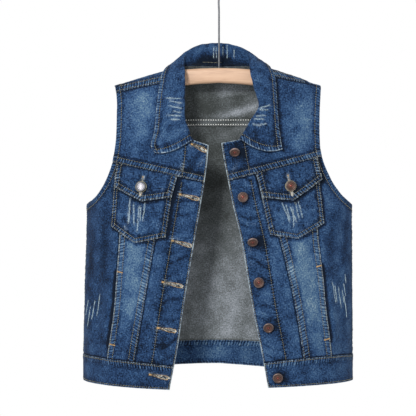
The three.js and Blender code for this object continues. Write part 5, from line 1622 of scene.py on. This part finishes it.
for name, places in STROKES.items():
    ends = [(pieces[name].locate(*place[:2]), pieces[name].locate(*place[2:])) for place in places]
    pieces[name].extra.append(marks(ends, 2.4, 0.1, 0.3, 0.0))

for name, piece in pieces.items():
    cloth_mesh(piece, name.startswith(("waistband", "collar", "pocket_flap")))
    sew(piece)

for number, piece, hole in down_edge("left", BUTTONHOLES):
    buttonhole("hole_%d" % number, piece, *hole)
for side_name, hole in FLAP_HOLES.items():
    flap = pieces["pocket_flap_" + side_name]
    buttonhole("flap_hole_" + side_name, flap, *hole, half=2.2)
    thread_ring("flap_ring_" + side_name, flap, FLAP_BUTTONS[side_name])

for side_name, heights in SLITS.items():
    mid = pieces["front_mid_" + side_name]
    for end, z in zip(("top", "foot"), heights):
        out = float(along(FRONT_SEAMS, SEAM_COLUMN[side_name, "outer"], z))
        thread_block("tack_%s_%s" % (side_name, end), mid, (out - 10, z - 1), (out - 0.8, z + 1.4))

for name, places in STROKES.items():
    strokes("hairs_" + name, pieces[name], places)

yoke = pieces["back_yoke"]
seam_line = next(line for line in yoke.lines if line.name == "yoke")
bars = [bar for row in seam_line.finish["rows"]
        for bar in row_stitches(yoke, seam_line, row, 0.3, under=True, pitch=INSIDE_PITCH)]
lay_threads("inside_stitches", yoke, bars, INSIDE_RADIUS, WHITE)

for number, piece, (out, z, tilt) in down_edge("right", EDGE_BUTTONS):
    button("button_%d" % number, piece, (out, z), tilt, COPPER)
for side_name, place in FLAP_BUTTONS.items():
    metal = SILVER if side_name == "left" else COPPER
    button("flap_button_" + side_name, pieces["pocket_flap_" + side_name], place, 2, metal)
hanger_bar()
hanger_hook()


# floor, light and camera

corners = [(x * FLOOR_HALF, y * FLOOR_HALF, FLOOR_Z) for x, y in ((-1, -1), (1, -1), (1, 1), (-1, 1))]
floor_mesh = bpy.data.meshes.new("floor")
floor_mesh.from_pydata(corners, [], [(0, 1, 2, 3)])
floor_mesh.materials.append(Graph("pale_floor", roughness=0.9).done(linear(246, 246, 246)))
new_object("floor", floor_mesh)

world = bpy.data.worlds.new("plain")
world.use_nodes = True
world.node_tree.nodes["Background"].inputs[0].default_value = (1, 1, 1, 1)
world.node_tree.nodes["Background"].inputs[1].default_value = 1.0
bpy.context.scene.world = world

light = bpy.data.lights.new("key", "AREA")
light.energy, light.size, light.color = 85.0, 0.5, (1.0, 0.985, 0.96)
key = new_object("key", light)
key.location = LIGHT_AT
key.rotation_euler = (Vector(VEST_MIDDLE) - Vector(LIGHT_AT)).to_track_quat("-Z", "Y").to_euler()

view = bpy.context.scene.view_settings
view.view_transform = "Standard"
view.look = "None"

camera_data = bpy.data.cameras.new("front_view")
camera_data.sensor_width = SENSOR
camera_data.lens = SENSOR * CAMERA_AWAY / FRAME_WIDTH
camera_data.clip_end = 20
camera = new_object("front_view", camera_data)
camera.location = (CAMERA_X * MM, -CAMERA_AWAY * MM, CAMERA_Z * MM)
camera.rotation_euler = (math.radians(90), 0, 0)
bpy.context.scene.camera = camera
